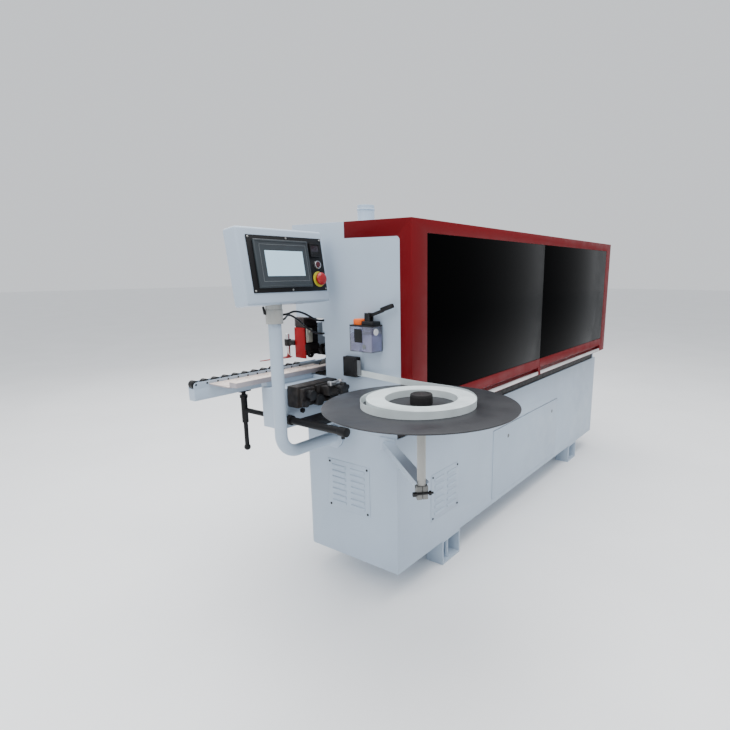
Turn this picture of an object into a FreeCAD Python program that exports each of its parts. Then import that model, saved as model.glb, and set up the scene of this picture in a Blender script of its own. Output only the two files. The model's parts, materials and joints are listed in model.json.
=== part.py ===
import FreeCAD, Part
import math
import os
import re

import Sketcher

# An edge banding machine: a steel cabinet with a lift-up hood, a chain feed with a
# pressure beam over it, a glue unit and trimming units inside, and at the infeed end
# a roller rail, a table, the tape feed, the coil tray and a control panel on an arm.
#
# Lengths are in millimetres and angles in degrees. Every sub-part is drawn from the
# cabinet's lower near corner: X runs from the infeed end to the outfeed end, Y from
# the hood's window side to the panel side, Z up from the floor. The Placement of each
# sub-part then moves it so that the origin is under the middle of the whole machine.

SIZES = {
    # Cabinet
    "base_length": 2450, "base_width": 500, "base_top": 691, "foot_height": 120,
    "skin": 4, "corner_radius": 30,
    "foot_width": 151, "foot_depth": 90, "foot_plate": 8, "near_foot": 335, "far_foot": 1975,
    "anchor_radius": 7, "anchor_inset": 30, "bolt_radius": 10,
    "door_left": 810, "door_right": 1693, "door_low": 148, "door_high": 523,
    "seam": 2, "hinge_pin": 1.5, "hinge_fit": 0.05, "lock_radius": 9,
    "end_vent_side": 140, "end_vent_width": 229, "end_vent_low": 330, "end_vent_high": 217,
    "side_vent_side": 236, "side_vent_width": 227, "side_vent_low": 254, "side_vent_high": 214,
    "vent_plate": 2, "louvre_height": 9, "louvre_depth": 5, "louvre_inset": 24,
    "screw_radius": 5, "screw_head": 3, "screw_inset": 12,
    # Hood
    "hood_length": 2390, "hood_top": 1500, "hood_bottom": 762, "hood_front": 74,
    "hood_back": 520, "column_depth": 52, "band_height": 60, "band_reach": 239,
    "band_radius": 15, "post_width": 97, "far_post": 90, "band_low": 1453,
    "window_low": 853, "divider": 1195, "door_gap": 2, "hinge_gap": 0.3, "rail_depth": 32, "recess": 28,
    "recess_top": 806, "recess_low": 788, "handle_depth": 10, "handle_height": 12,
    "stile": 25, "stile_depth": 12,
    "outlet_x": 330, "outlet_y": 410, "outlet_radius": 37, "outlet_wall": 2,
    "outlet_height": 100, "outlet_flange": 55,
    # Panel path: the notch in the hood's two end walls
    "work_height": 925, "path_side": 360, "path_floor": 899, "path_roof": 1135,
    "fence": 435,
    # Feed
    "chain_side": 521, "chain_width": 70, "chain_outer": 80, "chain_thick": 18,
    "near_sprocket": 240, "far_sprocket": 2350, "sprocket_gap": 0.4, "shaft_radius": 15,
    "running": 0.05, "mount_plate": 12, "mount_low": 640, "mount_inset": 40,
    "beam_low": 800, "beam_inset": 75, "chain_slide": 0.3, "spacer_radius": 15,
    "guard_start": 130, "guard_low": 720, "guard_high": 912, "guard_depth": 25,
    "motor_radius": 55, "motor_length": 190, "gearbox_width": 90, "gearbox_depth": 99,
    "gearbox_height": 100,
    # Pressure beam
    "beam_start": 130, "beam_end": 2340, "beam_side": 530, "beam_width": 60,
    "beam_under": 1004, "beam_height": 96, "wheel_radius": 27, "wheel_width": 20,
    "wheel_pitch": 100, "axle_radius": 4, "panel_thickness": 23, "web": 8,
    "near_column": 260, "far_column": 2100, "column_width": 80, "column_side": 340,
    "column_thick": 60, "column_top": 1180, "slide_gap": 0.3, "arm_low": 1020, "arm_high": 1080,
    "head_front": 50, "head_low": 948, "head_high": 1126, "head_side": 532, "head_cover": 4,
    "flap_rod_x": 46, "flap_rod_y": 634, "flap_rod_radius": 10, "flap_rod_top": 1051,
    "flap_reach": 152, "flap_thick": 3,
    # Glue unit and trimming units
    "glue_x": 345, "unit_side": 150, "unit_depth": 180, "roller_radius": 30, "pin_radius": 8,
    "unit_plate": 20, "glue_length": 300, "pot_length": 190, "pot_low": 100, "pot_height": 170,
    "pot_wall": 10, "pot_floor": 30, "glue_motor_radius": 42, "glue_motor_height": 330,
    "glue_roller_low": 39, "glue_roller_height": 110, "glue_bracket_low": 60,
    "trim_x": 1290, "trim_side": 210, "cutter_radius": 32, "cutter_height": 22, "cutter_low": 30,
    "cutter_high": 20, "unit_width": 180, "unit_post": 70, "post_height": 400,
    "unit_motor_radius": 40, "unit_motor_side": 175,
    # Infeed
    "console_reach": 248, "console_side": 360, "console_width": 100, "console_low": 730,
    "console_top": 885, "console_skin": 2,
    "bar_width": 39, "bar_height": 19, "bar_start": 378, "bar_end": 150,
    "plate_thick": 5, "plate_top": 907, "plate_side": 594, "plate_start": 382,
    "rail_start": 444, "rail_end": 200, "rail_side": 595, "rail_width": 35, "rail_low": 849,
    "rail_deck": 895, "rail_top": 918, "rail_wall": 3, "rail_round": 14,
    "roller_count": 12, "roller_pitch": 46, "rail_roller": 15, "roller_gap": 1,
    "post_x": 219, "post_y": 612, "post_tube": 13, "post_rod": 9, "post_low": 608,
    "ball_radius": 13.6, "post_collar": 826, "post_sleeve": 715, "branch_z": 767,
    "branch_radius": 10, "tube_radius": 14, "tube_end": 50, "tube_cap": 17,
    "feeder_reach": 214, "feeder_low": 815, "feeder_top": 897, "feeder_side": 280,
    "feeder_width": 76, "knob_x": 70, "knob_y": 215, "knob_z": 880, "knob_radius": 26,
    "knob_thick": 24, "lobes": 5,
    "guide_side": 172, "guide_width": 70, "guide_low": 918, "guide_height": 78, "guide_reach": 26,
    "slot_start": 8, "slot_width": 8, "slot_low": 5, "slot_room": 6,
    # Oil pump
    "tank_side": 60, "tank_width": 107, "tank_low": 1027, "tank_height": 94, "tank_reach": 64,
    "tank_wall": 3, "lever_pivot_y": 98, "lever_pivot_z": 1158, "lever_length": 118,
    "lever_rise": 19, "lever_width": 14,
    # Coil tray
    "tray_x": 250, "tray_y": 288, "tray_radius": 300, "tray_top": 924, "tray_thick": 4,
    "tray_rim": 11, "hub_radius": 34, "hub_height": 35, "spindle_radius": 13.5,
    "spindle_bore": 9.05, "spindle_top": 911.7, "spindle_low": 664, "boss_radius": 22,
    "clamp_height": 43, "clamp_width": 33, "arm_width": 40, "arm_depth": 26, "arm_z": 652,
    "arm_foot_y": 45, "arm_skin": 3,
    "coil_outer": 186, "coil_inner": 110.5, "tape_width": 23, "tape_thick": 1, "tape_gap": 0.5,
    # Control panel
    "mast_x": 280, "mast_y": 324, "mast_radius": 23, "mast_z": 649, "mast_bend": 75,
    "mast_top": 1188, "mast_flange": 48, "mast_collar": 30, "collar_height": 50,
    "panel_x": 430, "panel_y": 270, "panel_z": 1210, "panel_width": 380, "panel_height": 256,
    "panel_depth": 70, "panel_tilt": 8.6, "panel_skin": 2, "neck_radius": 29,
    "plate_left": 33, "plate_low": 39, "plate_width": 334, "plate_height": 190, "plate_proud": 3,
    "screen_left": 65, "screen_low": 56, "screen_width": 226, "screen_height": 158,
    "screen_proud": 8, "meter_left": 303, "meter_low": 161, "meter_size": 48, "meter_proud": 6,
    "button_x": 331, "start_z": 133, "stop_z": 81, "bezel_radius": 14.5, "stem_radius": 10.8,
    "bezel_height": 4, "button_proud": 5, "stem_depth": 8, "mushroom_radius": 21,
    "mushroom_low": 9, "mushroom_thick": 16, "stop_collar": 28, "stop_collar_thick": 2,
    # Air hoses
    "hose_radius": 4, "port_low": 1062, "port_height": 69, "port_width": 30, "port_depth": 8,
}

doc = FreeCAD.newDocument("edge_banding_machine")
sheet = doc.addObject("Spreadsheet::Sheet", "Dims")
for row, (alias, value) in enumerate(SIZES.items(), start=1):
    sheet.set(f"A{row}", alias)
    sheet.set(f"B{row}", str(value))
    sheet.setAlias(f"B{row}", alias)
doc.recompute()

X_AXIS = FreeCAD.Vector(1, 0, 0)
Y_AXIS = FreeCAD.Vector(0, 1, 0)
Z_AXIS = FreeCAD.Vector(0, 0, 1)
ALONG = {
    "x": FreeCAD.Rotation(Y_AXIS, 90),
    "y": FreeCAD.Rotation(X_AXIS, -90),
    "z": FreeCAD.Rotation(),
}
CENTRE_X = "(base_length - tray_x - tray_radius) / 2"
CENTRE_Y = "(rail_side + rail_width + guard_depth - tray_y - tray_radius) / 2"
SUB_PARTS = []


def formula(text):
    """The expression with each size's alias read from the sheet."""
    return re.sub(r"[a-z][a-z_]*", lambda word: "Dims." + word[0] if word[0] in SIZES else word[0],
                  str(text))


def number(text):
    """The value of an expression now, as a plain number."""
    return float(sheet.evalExpression(formula(text)))


def bind(obj, **properties):
    for name, text in properties.items():
        obj.setExpression(name.replace("__", "."), formula(text))


def place(obj, x, y, z):
    bind(obj, Placement__Base__x=x, Placement__Base__y=y, Placement__Base__z=z)


def box(x, y, z, length, width, height):
    obj = doc.addObject("Part::Box", "Box")
    bind(obj, Length=length, Width=width, Height=height)
    place(obj, x, y, z)
    return obj


def rod(x, y, z, radius, length, axis="z"):
    """A cylinder that starts at the point and runs along the axis."""
    obj = doc.addObject("Part::Cylinder", "Rod")
    bind(obj, Radius=radius, Height=length)
    obj.Placement = FreeCAD.Placement(FreeCAD.Vector(), ALONG[axis])
    place(obj, x, y, z)
    return obj


def ball(x, y, z, radius):
    obj = doc.addObject("Part::Sphere", "Ball")
    bind(obj, Radius=radius)
    place(obj, x, y, z)
    return obj


def fuse(*pieces):
    obj = doc.addObject("Part::MultiFuse", "Fuse")
    obj.Shapes = list(pieces)
    obj.Refine = True
    return obj


def cut(base, *tools):
    obj = doc.addObject("Part::Cut", "Cut")
    obj.Base = base
    obj.Tool = tools[0] if len(tools) == 1 else fuse(*tools)
    obj.Refine = True
    return obj


def group(*pieces):
    """Pieces that stay separate solids."""
    obj = doc.addObject("Part::Compound", "Group")
    obj.Links = list(pieces)
    return obj


def rounded(base, radius, wanted):
    """A fillet on the edges that wanted(edge) picks."""
    doc.recompute()
    obj = doc.addObject("Part::Fillet", "Rounded")
    obj.Base = base
    size = number(radius)
    obj.Edges = [(i, size, size) for i, edge in enumerate(base.Shape.Edges, start=1) if wanted(edge)]
    return obj


def straight(edge, axis):
    """Whether an edge is a straight one along the axis."""
    if edge.Curve.TypeId != "Part::GeomLine":
        return False
    run = edge.Vertexes[1].Point - edge.Vertexes[0].Point
    return abs(abs(run.normalize().dot(axis)) - 1) < 1e-6


def sub_part(name, obj, x="-(" + CENTRE_X + ")", y="-(" + CENTRE_Y + ")", z="0", tilt=None):
    obj.Label = name
    if tilt:
        obj.Placement = FreeCAD.Placement(FreeCAD.Vector(), FreeCAD.Rotation(X_AXIS, -number(tilt)))
    place(obj, x, y, z)
    SUB_PARTS.append(obj)
    return obj


def rounded_route(points):
    """Straight runs joined by tangent arcs, each as large as its two runs allow."""
    edges = []
    last = points[0]
    for before, corner, after in zip(points, points[1:], points[2:]):
        back, on = (before - corner), (after - corner)
        run = min(back.Length, on.Length)
        half_turn = (math.pi - back.getAngle(on)) / 2
        back.normalize()
        on.normalize()
        reach = 0.45 * run
        radius = reach / math.tan(half_turn)
        start, end = corner + back * reach, corner + on * reach
        inward = back + on
        inward.normalize()
        depth = reach * math.sin(half_turn) + radius * (math.cos(half_turn) - 1)
        middle = corner + inward * (reach * math.sin(half_turn) + radius * math.cos(half_turn) - radius)
        edges.append(Part.LineSegment(last, start).toShape())
        edges.append(Part.Arc(start, middle, end).toShape())
        print("  arc radius", round(radius, 1), "turn", round(math.degrees(2 * half_turn), 1))
        last = end
    edges.append(Part.LineSegment(last, points[-1]).toShape())
    return Part.Wire(edges)


# Bodies made from sketches

# Whether the normal of a sketch on each plane points along the body's own axis or against it
NORMAL_SIGN = {"XY_Plane": 1, "XZ_Plane": -1, "YZ_Plane": 1}


def new_body():
    return doc.addObject("PartDesign::Body", "Body")


def new_sketch(body, plane, start):
    sketch = body.newObject("Sketcher::SketchObject", "Sketch")
    origin_plane = next(f for f in body.Origin.OriginFeatures if f.Role == plane)
    sketch.AttachmentSupport = [(origin_plane, "")]
    sketch.MapMode = "FlatFace"
    sign = "-" if NORMAL_SIGN[plane] < 0 else ""
    bind(sketch, AttachmentOffset__Base__z=f"{sign}({start})")
    return sketch


def pin_down(sketch, geometry, vertex, across, up):
    for kind, text in (("DistanceX", across), ("DistanceY", up)):
        index = sketch.addConstraint(Sketcher.Constraint(kind, -1, 1, geometry, vertex, number(text)))
        sketch.setExpression(f"Constraints[{index}]", formula(text))


def outline(sketch, corners):
    """A closed outline of straight lines, every corner set from the sheet."""
    points = [FreeCAD.Vector(number(across), number(up), 0) for across, up in corners]
    first = sketch.GeometryCount
    count = len(points)
    for i in range(count):
        sketch.addGeometry(Part.LineSegment(points[i], points[(i + 1) % count]))
    for i in range(count):
        following = first + (i + 1) % count
        sketch.addConstraint(Sketcher.Constraint("Coincident", first + i, 2, following, 1))
    for i, (across, up) in enumerate(corners):
        pin_down(sketch, first + i, 1, across, up)


def ring(sketch, across, up, radius):
    centre = FreeCAD.Vector(number(across), number(up), 0)
    index = sketch.addGeometry(Part.Circle(centre, FreeCAD.Vector(0, 0, 1), number(radius)))
    pin_down(sketch, index, 3, across, up)
    size = sketch.addConstraint(Sketcher.Constraint("Radius", index, number(radius)))
    sketch.setExpression(f"Constraints[{size}]", formula(radius))


def rectangle(left, low, width, height):
    right, high = f"{left} + {width}", f"{low} + {height}"
    return [(left, low), (right, low), (right, high), (left, high)]


def extrude(body, kind, plane, start, length, draw):
    """A Pad, or a Pocket, that grows from start in the plane's positive body direction."""
    sketch = new_sketch(body, plane, start)
    draw(sketch)
    feature = body.newObject("PartDesign::" + kind, kind)
    feature.Profile = sketch
    bind(feature, Length=length)
    forward = NORMAL_SIGN[plane] > 0
    feature.Reversed = (not forward) if kind == "Pad" else forward
    sketch.Visibility = False
    return feature


def pad(body, plane, start, length, draw):
    return extrude(body, "Pad", plane, start, length, draw)


def pocket(body, plane, start, length, draw):
    doc.recompute()
    before = body.Shape.Volume
    feature = extrude(body, "Pocket", plane, start, length, draw)
    doc.recompute()
    if body.Shape.Volume >= before:
        raise ValueError("a pocket of " + body.Label + " cuts nothing")
    return feature


def round_off(body, radius, wanted):
    """A fillet on the edges of the body's tip that wanted(edge) picks."""
    doc.recompute()
    tip = body.Tip
    names = [f"Edge{i}" for i, edge in enumerate(tip.Shape.Edges, start=1) if wanted(edge)]
    fillet = body.newObject("PartDesign::Fillet", "Fillet")
    fillet.Base = (tip, names)
    bind(fillet, Radius=radius)


def near(point, **coordinates):
    return all(abs(getattr(point, axis) - number(text)) < 0.01 for axis, text in coordinates.items())


def turned(profile):
    """A body turned about a vertical axis from a half outline of (radius, height) corners."""
    body = new_body()
    sketch = new_sketch(body, "XZ_Plane", "0")
    outline(sketch, profile)
    feature = body.newObject("PartDesign::Revolution", "Revolution")
    feature.Profile = sketch
    feature.ReferenceAxis = (sketch, ["V_Axis"])
    feature.Angle = 360
    return body


# Cabinet

def base_cabinet():
    body = new_body()
    inner_length, inner_width = "base_length - 2 * skin", "base_width - 2 * skin - corner_radius / 3"
    pad(body, "XY_Plane", "foot_height", "base_top - foot_height",
        lambda s: outline(s, rectangle("0", "0", "base_length", "base_width")))
    round_off(body, "corner_radius",
              lambda e: straight(e, Z_AXIS) and near(e.Vertexes[0].Point, y="base_width"))
    pocket(body, "XY_Plane", "foot_height + skin", "base_top - foot_height - 2 * skin",
           lambda s: outline(s, rectangle("skin", "skin", inner_length, inner_width)))
    pocket(body, "XZ_Plane", "0", "skin",
           lambda s: outline(s, rectangle("door_left", "door_low", "door_right - door_left",
                                          "door_high - door_low")))
    vent_inset = "2 * louvre_inset"
    pocket(body, "XZ_Plane", "0", "skin", lambda s: outline(s, rectangle(
        "side_vent_side + louvre_inset", "side_vent_low + louvre_inset",
        "side_vent_width - " + vent_inset, "side_vent_high - " + vent_inset)))
    pocket(body, "YZ_Plane", "0", "skin", lambda s: outline(s, rectangle(
        "end_vent_side + louvre_inset", "end_vent_low + louvre_inset",
        "end_vent_width - " + vent_inset, "end_vent_high - " + vent_inset)))
    pocket(body, "YZ_Plane", "door_left - 3 * seam", "door_right - door_left + 6 * seam",
           lambda s: ring(s, "skin / 2", "door_low + 2 * seam", "hinge_pin + hinge_fit"))
    return sub_part("base_cabinet", body)


def foot(x, side):
    """An open-fronted folded foot; side is 1 at the window side and -1 at the panel side."""
    front = "0" if side > 0 else "base_width - foot_depth"
    back = "foot_depth - foot_plate" if side > 0 else "base_width - foot_depth"
    shell = [
        box(x, front, "0", "foot_width", "foot_depth", "foot_plate"),
        box(x, front, "foot_height - foot_plate", "foot_width", "foot_depth", "foot_plate"),
        box(x, back, "0", "foot_width", "foot_plate", "foot_height"),
        box(x, front, "0", "foot_plate", "foot_depth", "foot_height"),
        box(x + " + foot_width - foot_plate", front, "0", "foot_plate", "foot_depth", "foot_height"),
    ]
    hole_y = "anchor_inset" if side > 0 else "base_width - anchor_inset"
    middle = x + " + foot_width / 2"
    hole = rod(x + " + anchor_inset", hole_y, "-1", "anchor_radius", "foot_plate + 2")
    screw = rod(middle, hole_y, "foot_plate", "bolt_radius", "foot_height - 2 * foot_plate")
    nut = rod(middle, hole_y, "foot_plate", "1.7 * bolt_radius", "bolt_radius")
    return [cut(fuse(*shell), hole), fuse(screw, nut)]


def machine_feet():
    pieces = []
    for x in ("near_foot", "far_foot"):
        for side in (1, -1):
            pieces += foot(x, side)
    return sub_part("machine_feet", group(*pieces))


def louvres(side, low, width, height, rows, facing):
    """A cover plate with two columns of louvres; facing is the plate's outward axis, x or y."""
    def slab(across, up, thickness, breadth, tall, out):
        if facing == "x":
            return box(f"-({out} + {thickness})", across, up, thickness, breadth, tall)
        return box(across, f"-({out} + {thickness})", up, breadth, thickness, tall)
    pieces = [slab(side, low, "vent_plate", width, height, "0")]
    gap = f"({height} - 2 * louvre_inset - louvre_height) / {rows - 1}"
    breadth = f"({width} - 3 * louvre_inset) / 2"
    for column in range(2):
        for row in range(rows):
            across = f"{side} + louvre_inset + {column} * ({breadth} + louvre_inset)"
            up = f"{low} + louvre_inset + {row} * {gap}"
            pieces.append(slab(across, up, "louvre_depth", breadth, "louvre_height", "vent_plate"))
    return fuse(*pieces)


def vent_covers():
    end_cover = louvres("end_vent_side", "end_vent_low", "end_vent_width", "end_vent_high", 7, "x")
    side_cover = louvres("side_vent_side", "side_vent_low", "side_vent_width", "side_vent_high", 6, "y")
    return sub_part("vent_covers", group(end_cover, side_cover))


def cover_screws():
    pieces = []
    for across in ("screw_inset", "end_vent_width - screw_inset"):
        for up in ("screw_inset", "end_vent_high - screw_inset"):
            pieces.append(rod("-(vent_plate + screw_head)", f"end_vent_side + {across}",
                              f"end_vent_low + {up}", "screw_radius", "screw_head", "x"))
    for across in ("screw_inset", "side_vent_width - screw_inset"):
        for up in ("screw_inset", "side_vent_high - screw_inset"):
            pieces.append(rod(f"side_vent_side + {across}", "-(vent_plate + screw_head)",
                              f"side_vent_low + {up}", "screw_radius", "screw_head", "y"))
    return sub_part("cover_screws", group(*pieces))


def service_door():
    """A flush door on two pins at its lower corners, with two quarter-turn locks."""
    left, width = "door_left + seam", "door_right - door_left - 2 * seam"
    plate = box(left, "0", "door_low + seam", width, "skin", "door_high - door_low - 2 * seam")
    pin_z = "door_low + 2 * seam"
    pin_length = "3 * seam"
    pins = [rod(left + " - 2 * seam", "skin / 2", pin_z, "hinge_pin", pin_length, "x"),
            rod("door_right - 2 * seam", "skin / 2", pin_z, "hinge_pin", pin_length, "x")]
    lock_y = "-screw_head"
    locks = [rod(x, lock_y, "door_high - 6 * screw_inset", "lock_radius", "screw_head + 1", "y")
             for x in ("door_left + 171", "door_right - 86")]
    return sub_part("service_door", fuse(plate, *pins, *locks))


# Hood

def end_wall(x):
    """A white end wall of the hood with the notch that the panels pass through."""
    body = new_body()
    corners = [
        ("0", "base_top"), ("base_width", "base_top"), ("base_width", "path_floor"),
        ("path_side", "path_floor"), ("path_side", "path_roof"), ("hood_back", "path_roof"),
        ("hood_back", "hood_top"), ("band_reach", "hood_top"),
        ("band_reach", "hood_top - band_height"),
        ("column_depth - hood_front", "hood_top - band_height"),
        ("column_depth - hood_front", "hood_bottom"), ("0", "hood_bottom"),
    ]
    pad(body, "YZ_Plane", x, "skin", lambda s: outline(s, corners))
    round_off(body, "band_radius", lambda e: straight(e, X_AXIS) and near(
        e.Vertexes[0].Point, y="column_depth - hood_front", z="hood_top - band_height"))
    return body


def hood_panels():
    port_block = box("skin", "path_side - port_width / 2", "port_low", "port_depth", "port_width",
                     "port_height")
    near_wall = fuse(end_wall("0"), port_block)
    far_wall = end_wall("hood_length - skin")
    inside = "hood_length - 2 * skin"
    roof = box("skin", "skin - hood_front", "hood_top - skin", inside,
               "hood_front + hood_back - skin", "skin")
    back = box("skin", "hood_back - skin", "path_roof", inside, "skin", "hood_top - path_roof")
    outlet = rod("outlet_x", "outlet_y", "hood_top - 2 * skin", "outlet_radius - outlet_wall",
                 "3 * skin")
    return sub_part("hood_panels", group(near_wall, far_wall, cut(fuse(roof, back), outlet)))


def hood_frame():
    """The red frame: an L at each end, a post at each corner and the band over the doors."""
    pieces = []
    for x in ("0", "hood_length - skin"):
        body = new_body()
        corners = [
            ("-hood_front", "hood_bottom"), ("column_depth - hood_front", "hood_bottom"),
            ("column_depth - hood_front", "hood_top - band_height"),
            ("band_reach", "hood_top - band_height"), ("band_reach", "hood_top"),
            ("-hood_front", "hood_top"),
        ]
        pad(body, "YZ_Plane", x, "skin", lambda s: outline(s, corners))
        round_off(body, "band_radius", lambda e: straight(e, X_AXIS) and near(
            e.Vertexes[0].Point, y="column_depth - hood_front", z="hood_top - band_height"))
        pieces.append(body)
    front = "-hood_front"
    height = "hood_top - hood_bottom"
    pieces.append(box("0", front, "hood_bottom", "post_width", "skin", height))
    pieces.append(box("hood_length - far_post", front, "hood_bottom", "far_post", "skin", height))
    pieces.append(box("0", front, "band_low", "hood_length", "skin", "hood_top - band_low"))
    return sub_part("hood_frame", fuse(*pieces))


def lift_door(left, right):
    """A door frame: a deep lower rail with a finger recess and a handle bar, stiles and a head."""
    body = new_body()
    width = f"({right}) - ({left})"
    section = [
        ("-hood_front", "window_low - door_gap"), ("-hood_front", "recess_top"),
        ("recess - hood_front", "recess_low"), ("recess - hood_front", "hood_bottom"),
        ("rail_depth - hood_front", "hood_bottom"), ("rail_depth - hood_front", "window_low - door_gap"),
    ]
    pad(body, "YZ_Plane", left, width, lambda s: outline(s, section))
    back = "skin - hood_front"
    tall = "band_low - hinge_gap - window_low + door_gap"
    low = "window_low - door_gap"
    pieces = [
        body,
        box(left, back, low, "stile", "stile_depth", tall),
        box(f"{right} - stile", back, low, "stile", "stile_depth", tall),
        box(left, back, "band_low - hinge_gap - stile", width, "stile_depth", "stile"),
        box(left, "-hood_front", "hood_bottom", width, "handle_depth", "handle_height"),
    ]
    for x in (left, f"{right} - handle_height"):
        pieces.append(box(x, "-hood_front", "hood_bottom", "handle_height", "rail_depth",
                          "recess_top - hood_bottom"))
    return fuse(*pieces)


def window(left, right):
    return box(left, "-hood_front", "window_low", f"({right}) - ({left})", "skin",
               "band_low - hinge_gap - window_low")


def lift_doors():
    spans = {
        "near": ("post_width + door_gap", "divider - door_gap"),
        "far": ("divider + door_gap", "hood_length - far_post - door_gap"),
    }
    for side, (left, right) in spans.items():
        sub_part(side + "_door", lift_door(left, right))
        sub_part(side + "_window", group(window(left, right)))


def dust_outlet():
    pipe = rod("outlet_x", "outlet_y", "hood_top", "outlet_radius", "outlet_height")
    flange = rod("outlet_x", "outlet_y", "hood_top", "outlet_flange", "skin")
    bore = rod("outlet_x", "outlet_y", "hood_top - 1", "outlet_radius - outlet_wall",
               "outlet_height + 2")
    return sub_part("dust_outlet", cut(fuse(pipe, flange), bore))


# Feed

AXLE_Z = "work_height - chain_outer"
CHAIN_INNER = "(chain_outer - chain_thick)"


def loop_outline(sketch, radius):
    """A stadium round the two sprocket centres."""
    near_x, far_x, middle = number("near_sprocket"), number("far_sprocket"), number(AXLE_Z)
    size = number(radius)
    low, high = middle - size, middle + size
    up = FreeCAD.Vector(0, 0, 1)
    first = sketch.addGeometry(Part.LineSegment(FreeCAD.Vector(near_x, low, 0),
                                                FreeCAD.Vector(far_x, low, 0)))
    right = sketch.addGeometry(Part.ArcOfCircle(
        Part.Circle(FreeCAD.Vector(far_x, middle, 0), up, size), -math.pi / 2, math.pi / 2))
    top = sketch.addGeometry(Part.LineSegment(FreeCAD.Vector(far_x, high, 0),
                                              FreeCAD.Vector(near_x, high, 0)))
    left = sketch.addGeometry(Part.ArcOfCircle(
        Part.Circle(FreeCAD.Vector(near_x, middle, 0), up, size), math.pi / 2, 3 * math.pi / 2))
    for one, one_end, other, other_end in ((first, 2, right, 1), (right, 2, top, 1),
                                           (top, 2, left, 1), (left, 2, first, 1)):
        sketch.addConstraint(Sketcher.Constraint("Tangent", one, one_end, other, other_end))
    pin_down(sketch, right, 3, "far_sprocket", AXLE_Z)
    pin_down(sketch, left, 3, "near_sprocket", AXLE_Z)
    index = sketch.addConstraint(Sketcher.Constraint("Radius", right, size))
    sketch.setExpression(f"Constraints[{index}]", formula(radius))


def feed_chain():
    body = new_body()

    def draw(sketch):
        loop_outline(sketch, "chain_outer")
        loop_outline(sketch, CHAIN_INNER)

    pad(body, "XZ_Plane", "chain_side", "chain_width", draw)
    return sub_part("feed_chain", body)


def sprocket(name, x):
    wheel = rod(x, "chain_side + 5", AXLE_Z, CHAIN_INNER + " - sprocket_gap", "chain_width - 10", "y")
    shaft = rod(x, "base_width", AXLE_Z, "shaft_radius", "mount_plate + chain_width + 20", "y")
    return sub_part(name, fuse(wheel, shaft))


def feed_beam():
    """The beam inside the chain loop, its mounting plate on the cabinet and the outer guard."""
    plate = box("near_sprocket - mount_inset", "base_width", "mount_low",
                "far_sprocket - near_sprocket + 2 * mount_inset", "mount_plate",
                "rail_deck - mount_low")
    holes = [rod(x, "base_width - 1", AXLE_Z, "shaft_radius + running", "mount_plate + 2", "y")
             for x in ("near_sprocket", "far_sprocket")]
    beam_start = "near_sprocket + beam_inset"
    beam_length = "(far_sprocket - near_sprocket - 2 * beam_inset)"
    beam_top = f"({AXLE_Z} + {CHAIN_INNER} - chain_slide)"
    beam = box(beam_start, "base_width + mount_plate", "beam_low", beam_length,
               "chain_side + chain_width - base_width - mount_plate", beam_top + " - beam_low")
    guard_y = "rail_side + rail_width"
    guard_length = "base_length - guard_start"
    guard = cut(
        box("guard_start", guard_y, "guard_low", guard_length, "guard_depth", "guard_high - guard_low"),
        box("guard_start - 1", guard_y + " - 1", "guard_low + skin", guard_length + " + 2",
            "guard_depth - skin + 1", "guard_high - guard_low - 2 * skin"))
    spacers = []
    for share in (1, 2, 3, 4):
        x = f"{beam_start} + {beam_length} * {share} / 5"
        spacers.append(rod(x, "chain_side + chain_width - 1", AXLE_Z, "spacer_radius",
                           "rail_side + rail_width + guard_depth - skin - chain_side - chain_width + 2",
                           "y"))
    return sub_part("feed_beam", fuse(cut(plate, *holes), beam, guard, *spacers))


def feed_motor():
    """The gearbox bolted behind the mounting plate, and its motor, which points inwards."""
    low = f"{AXLE_Z} - gearbox_height / 2"
    side = "base_width - gearbox_depth"
    gearbox = box("far_sprocket - gearbox_width + 32", side, low, "gearbox_width", "gearbox_depth",
                  "gearbox_height")
    middle = "far_sprocket + 32 - gearbox_width / 2"
    motor = rod(middle, side + " - motor_length", AXLE_Z, "motor_radius - 12", "motor_length", "y")
    terminal = box(middle + " - 30", side + " - motor_length * 3 / 4", f"{AXLE_Z} + motor_radius - 20",
                   "60", "80", "30")
    return sub_part("feed_motor", fuse(gearbox, motor, terminal))


# Pressure beam

WHEEL_Z = "work_height + panel_thickness + wheel_radius"


def wheel_stations():
    count = int((number("beam_end") - number("beam_start")) // number("wheel_pitch"))
    return [f"beam_start + wheel_pitch * {i + 0.5}" for i in range(count)]


def pressure_beam():
    """The beam, a web and an axle at each pair of wheels, and two arms to the columns."""
    length = "beam_end - beam_start"
    pieces = [cut(box("beam_start", "beam_side", "beam_under", length, "beam_width", "beam_height"),
                  box("beam_start - 1", "beam_side + skin", "beam_under + skin", length + " + 2",
                      "beam_width - 2 * skin", "beam_height - 2 * skin"))]
    middle = "beam_side + beam_width / 2"
    for x in wheel_stations():
        pieces.append(box(f"{x} - 12", f"{middle} - web / 2", f"{WHEEL_Z} - 10", "24", "web",
                          f"beam_under - ({WHEEL_Z}) + 11"))
        pieces.append(rod(x, "beam_side + 3", WHEEL_Z, "axle_radius", "beam_width - 6", "y"))
    for x in ("near_column", "far_column"):
        column_front = "column_side + column_thick + slide_gap"
        pieces.append(box(f"{x} - column_width / 2 - skin", column_front, "arm_low - 20",
                          "column_width + 2 * skin", "20", "arm_high - arm_low + 35"))
        pieces.append(box(f"{x} - 30", column_front, "arm_low", "60",
                          f"beam_side - ({column_front}) + 1", "arm_high - arm_low"))
    return sub_part("pressure_beam", fuse(*pieces))


def beam_wheels():
    pieces = []
    middle = "beam_side + beam_width / 2"
    for x in wheel_stations():
        for side in (f"{middle} - web / 2 - 1 - wheel_width", f"{middle} + web / 2 + 1"):
            pieces.append(cut(rod(x, side, WHEEL_Z, "wheel_radius", "wheel_width", "y"),
                              rod(x, f"{side} - 1", WHEEL_Z, "axle_radius + running",
                                  "wheel_width + 2", "y")))
    return sub_part("beam_wheels", group(*pieces))


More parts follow.
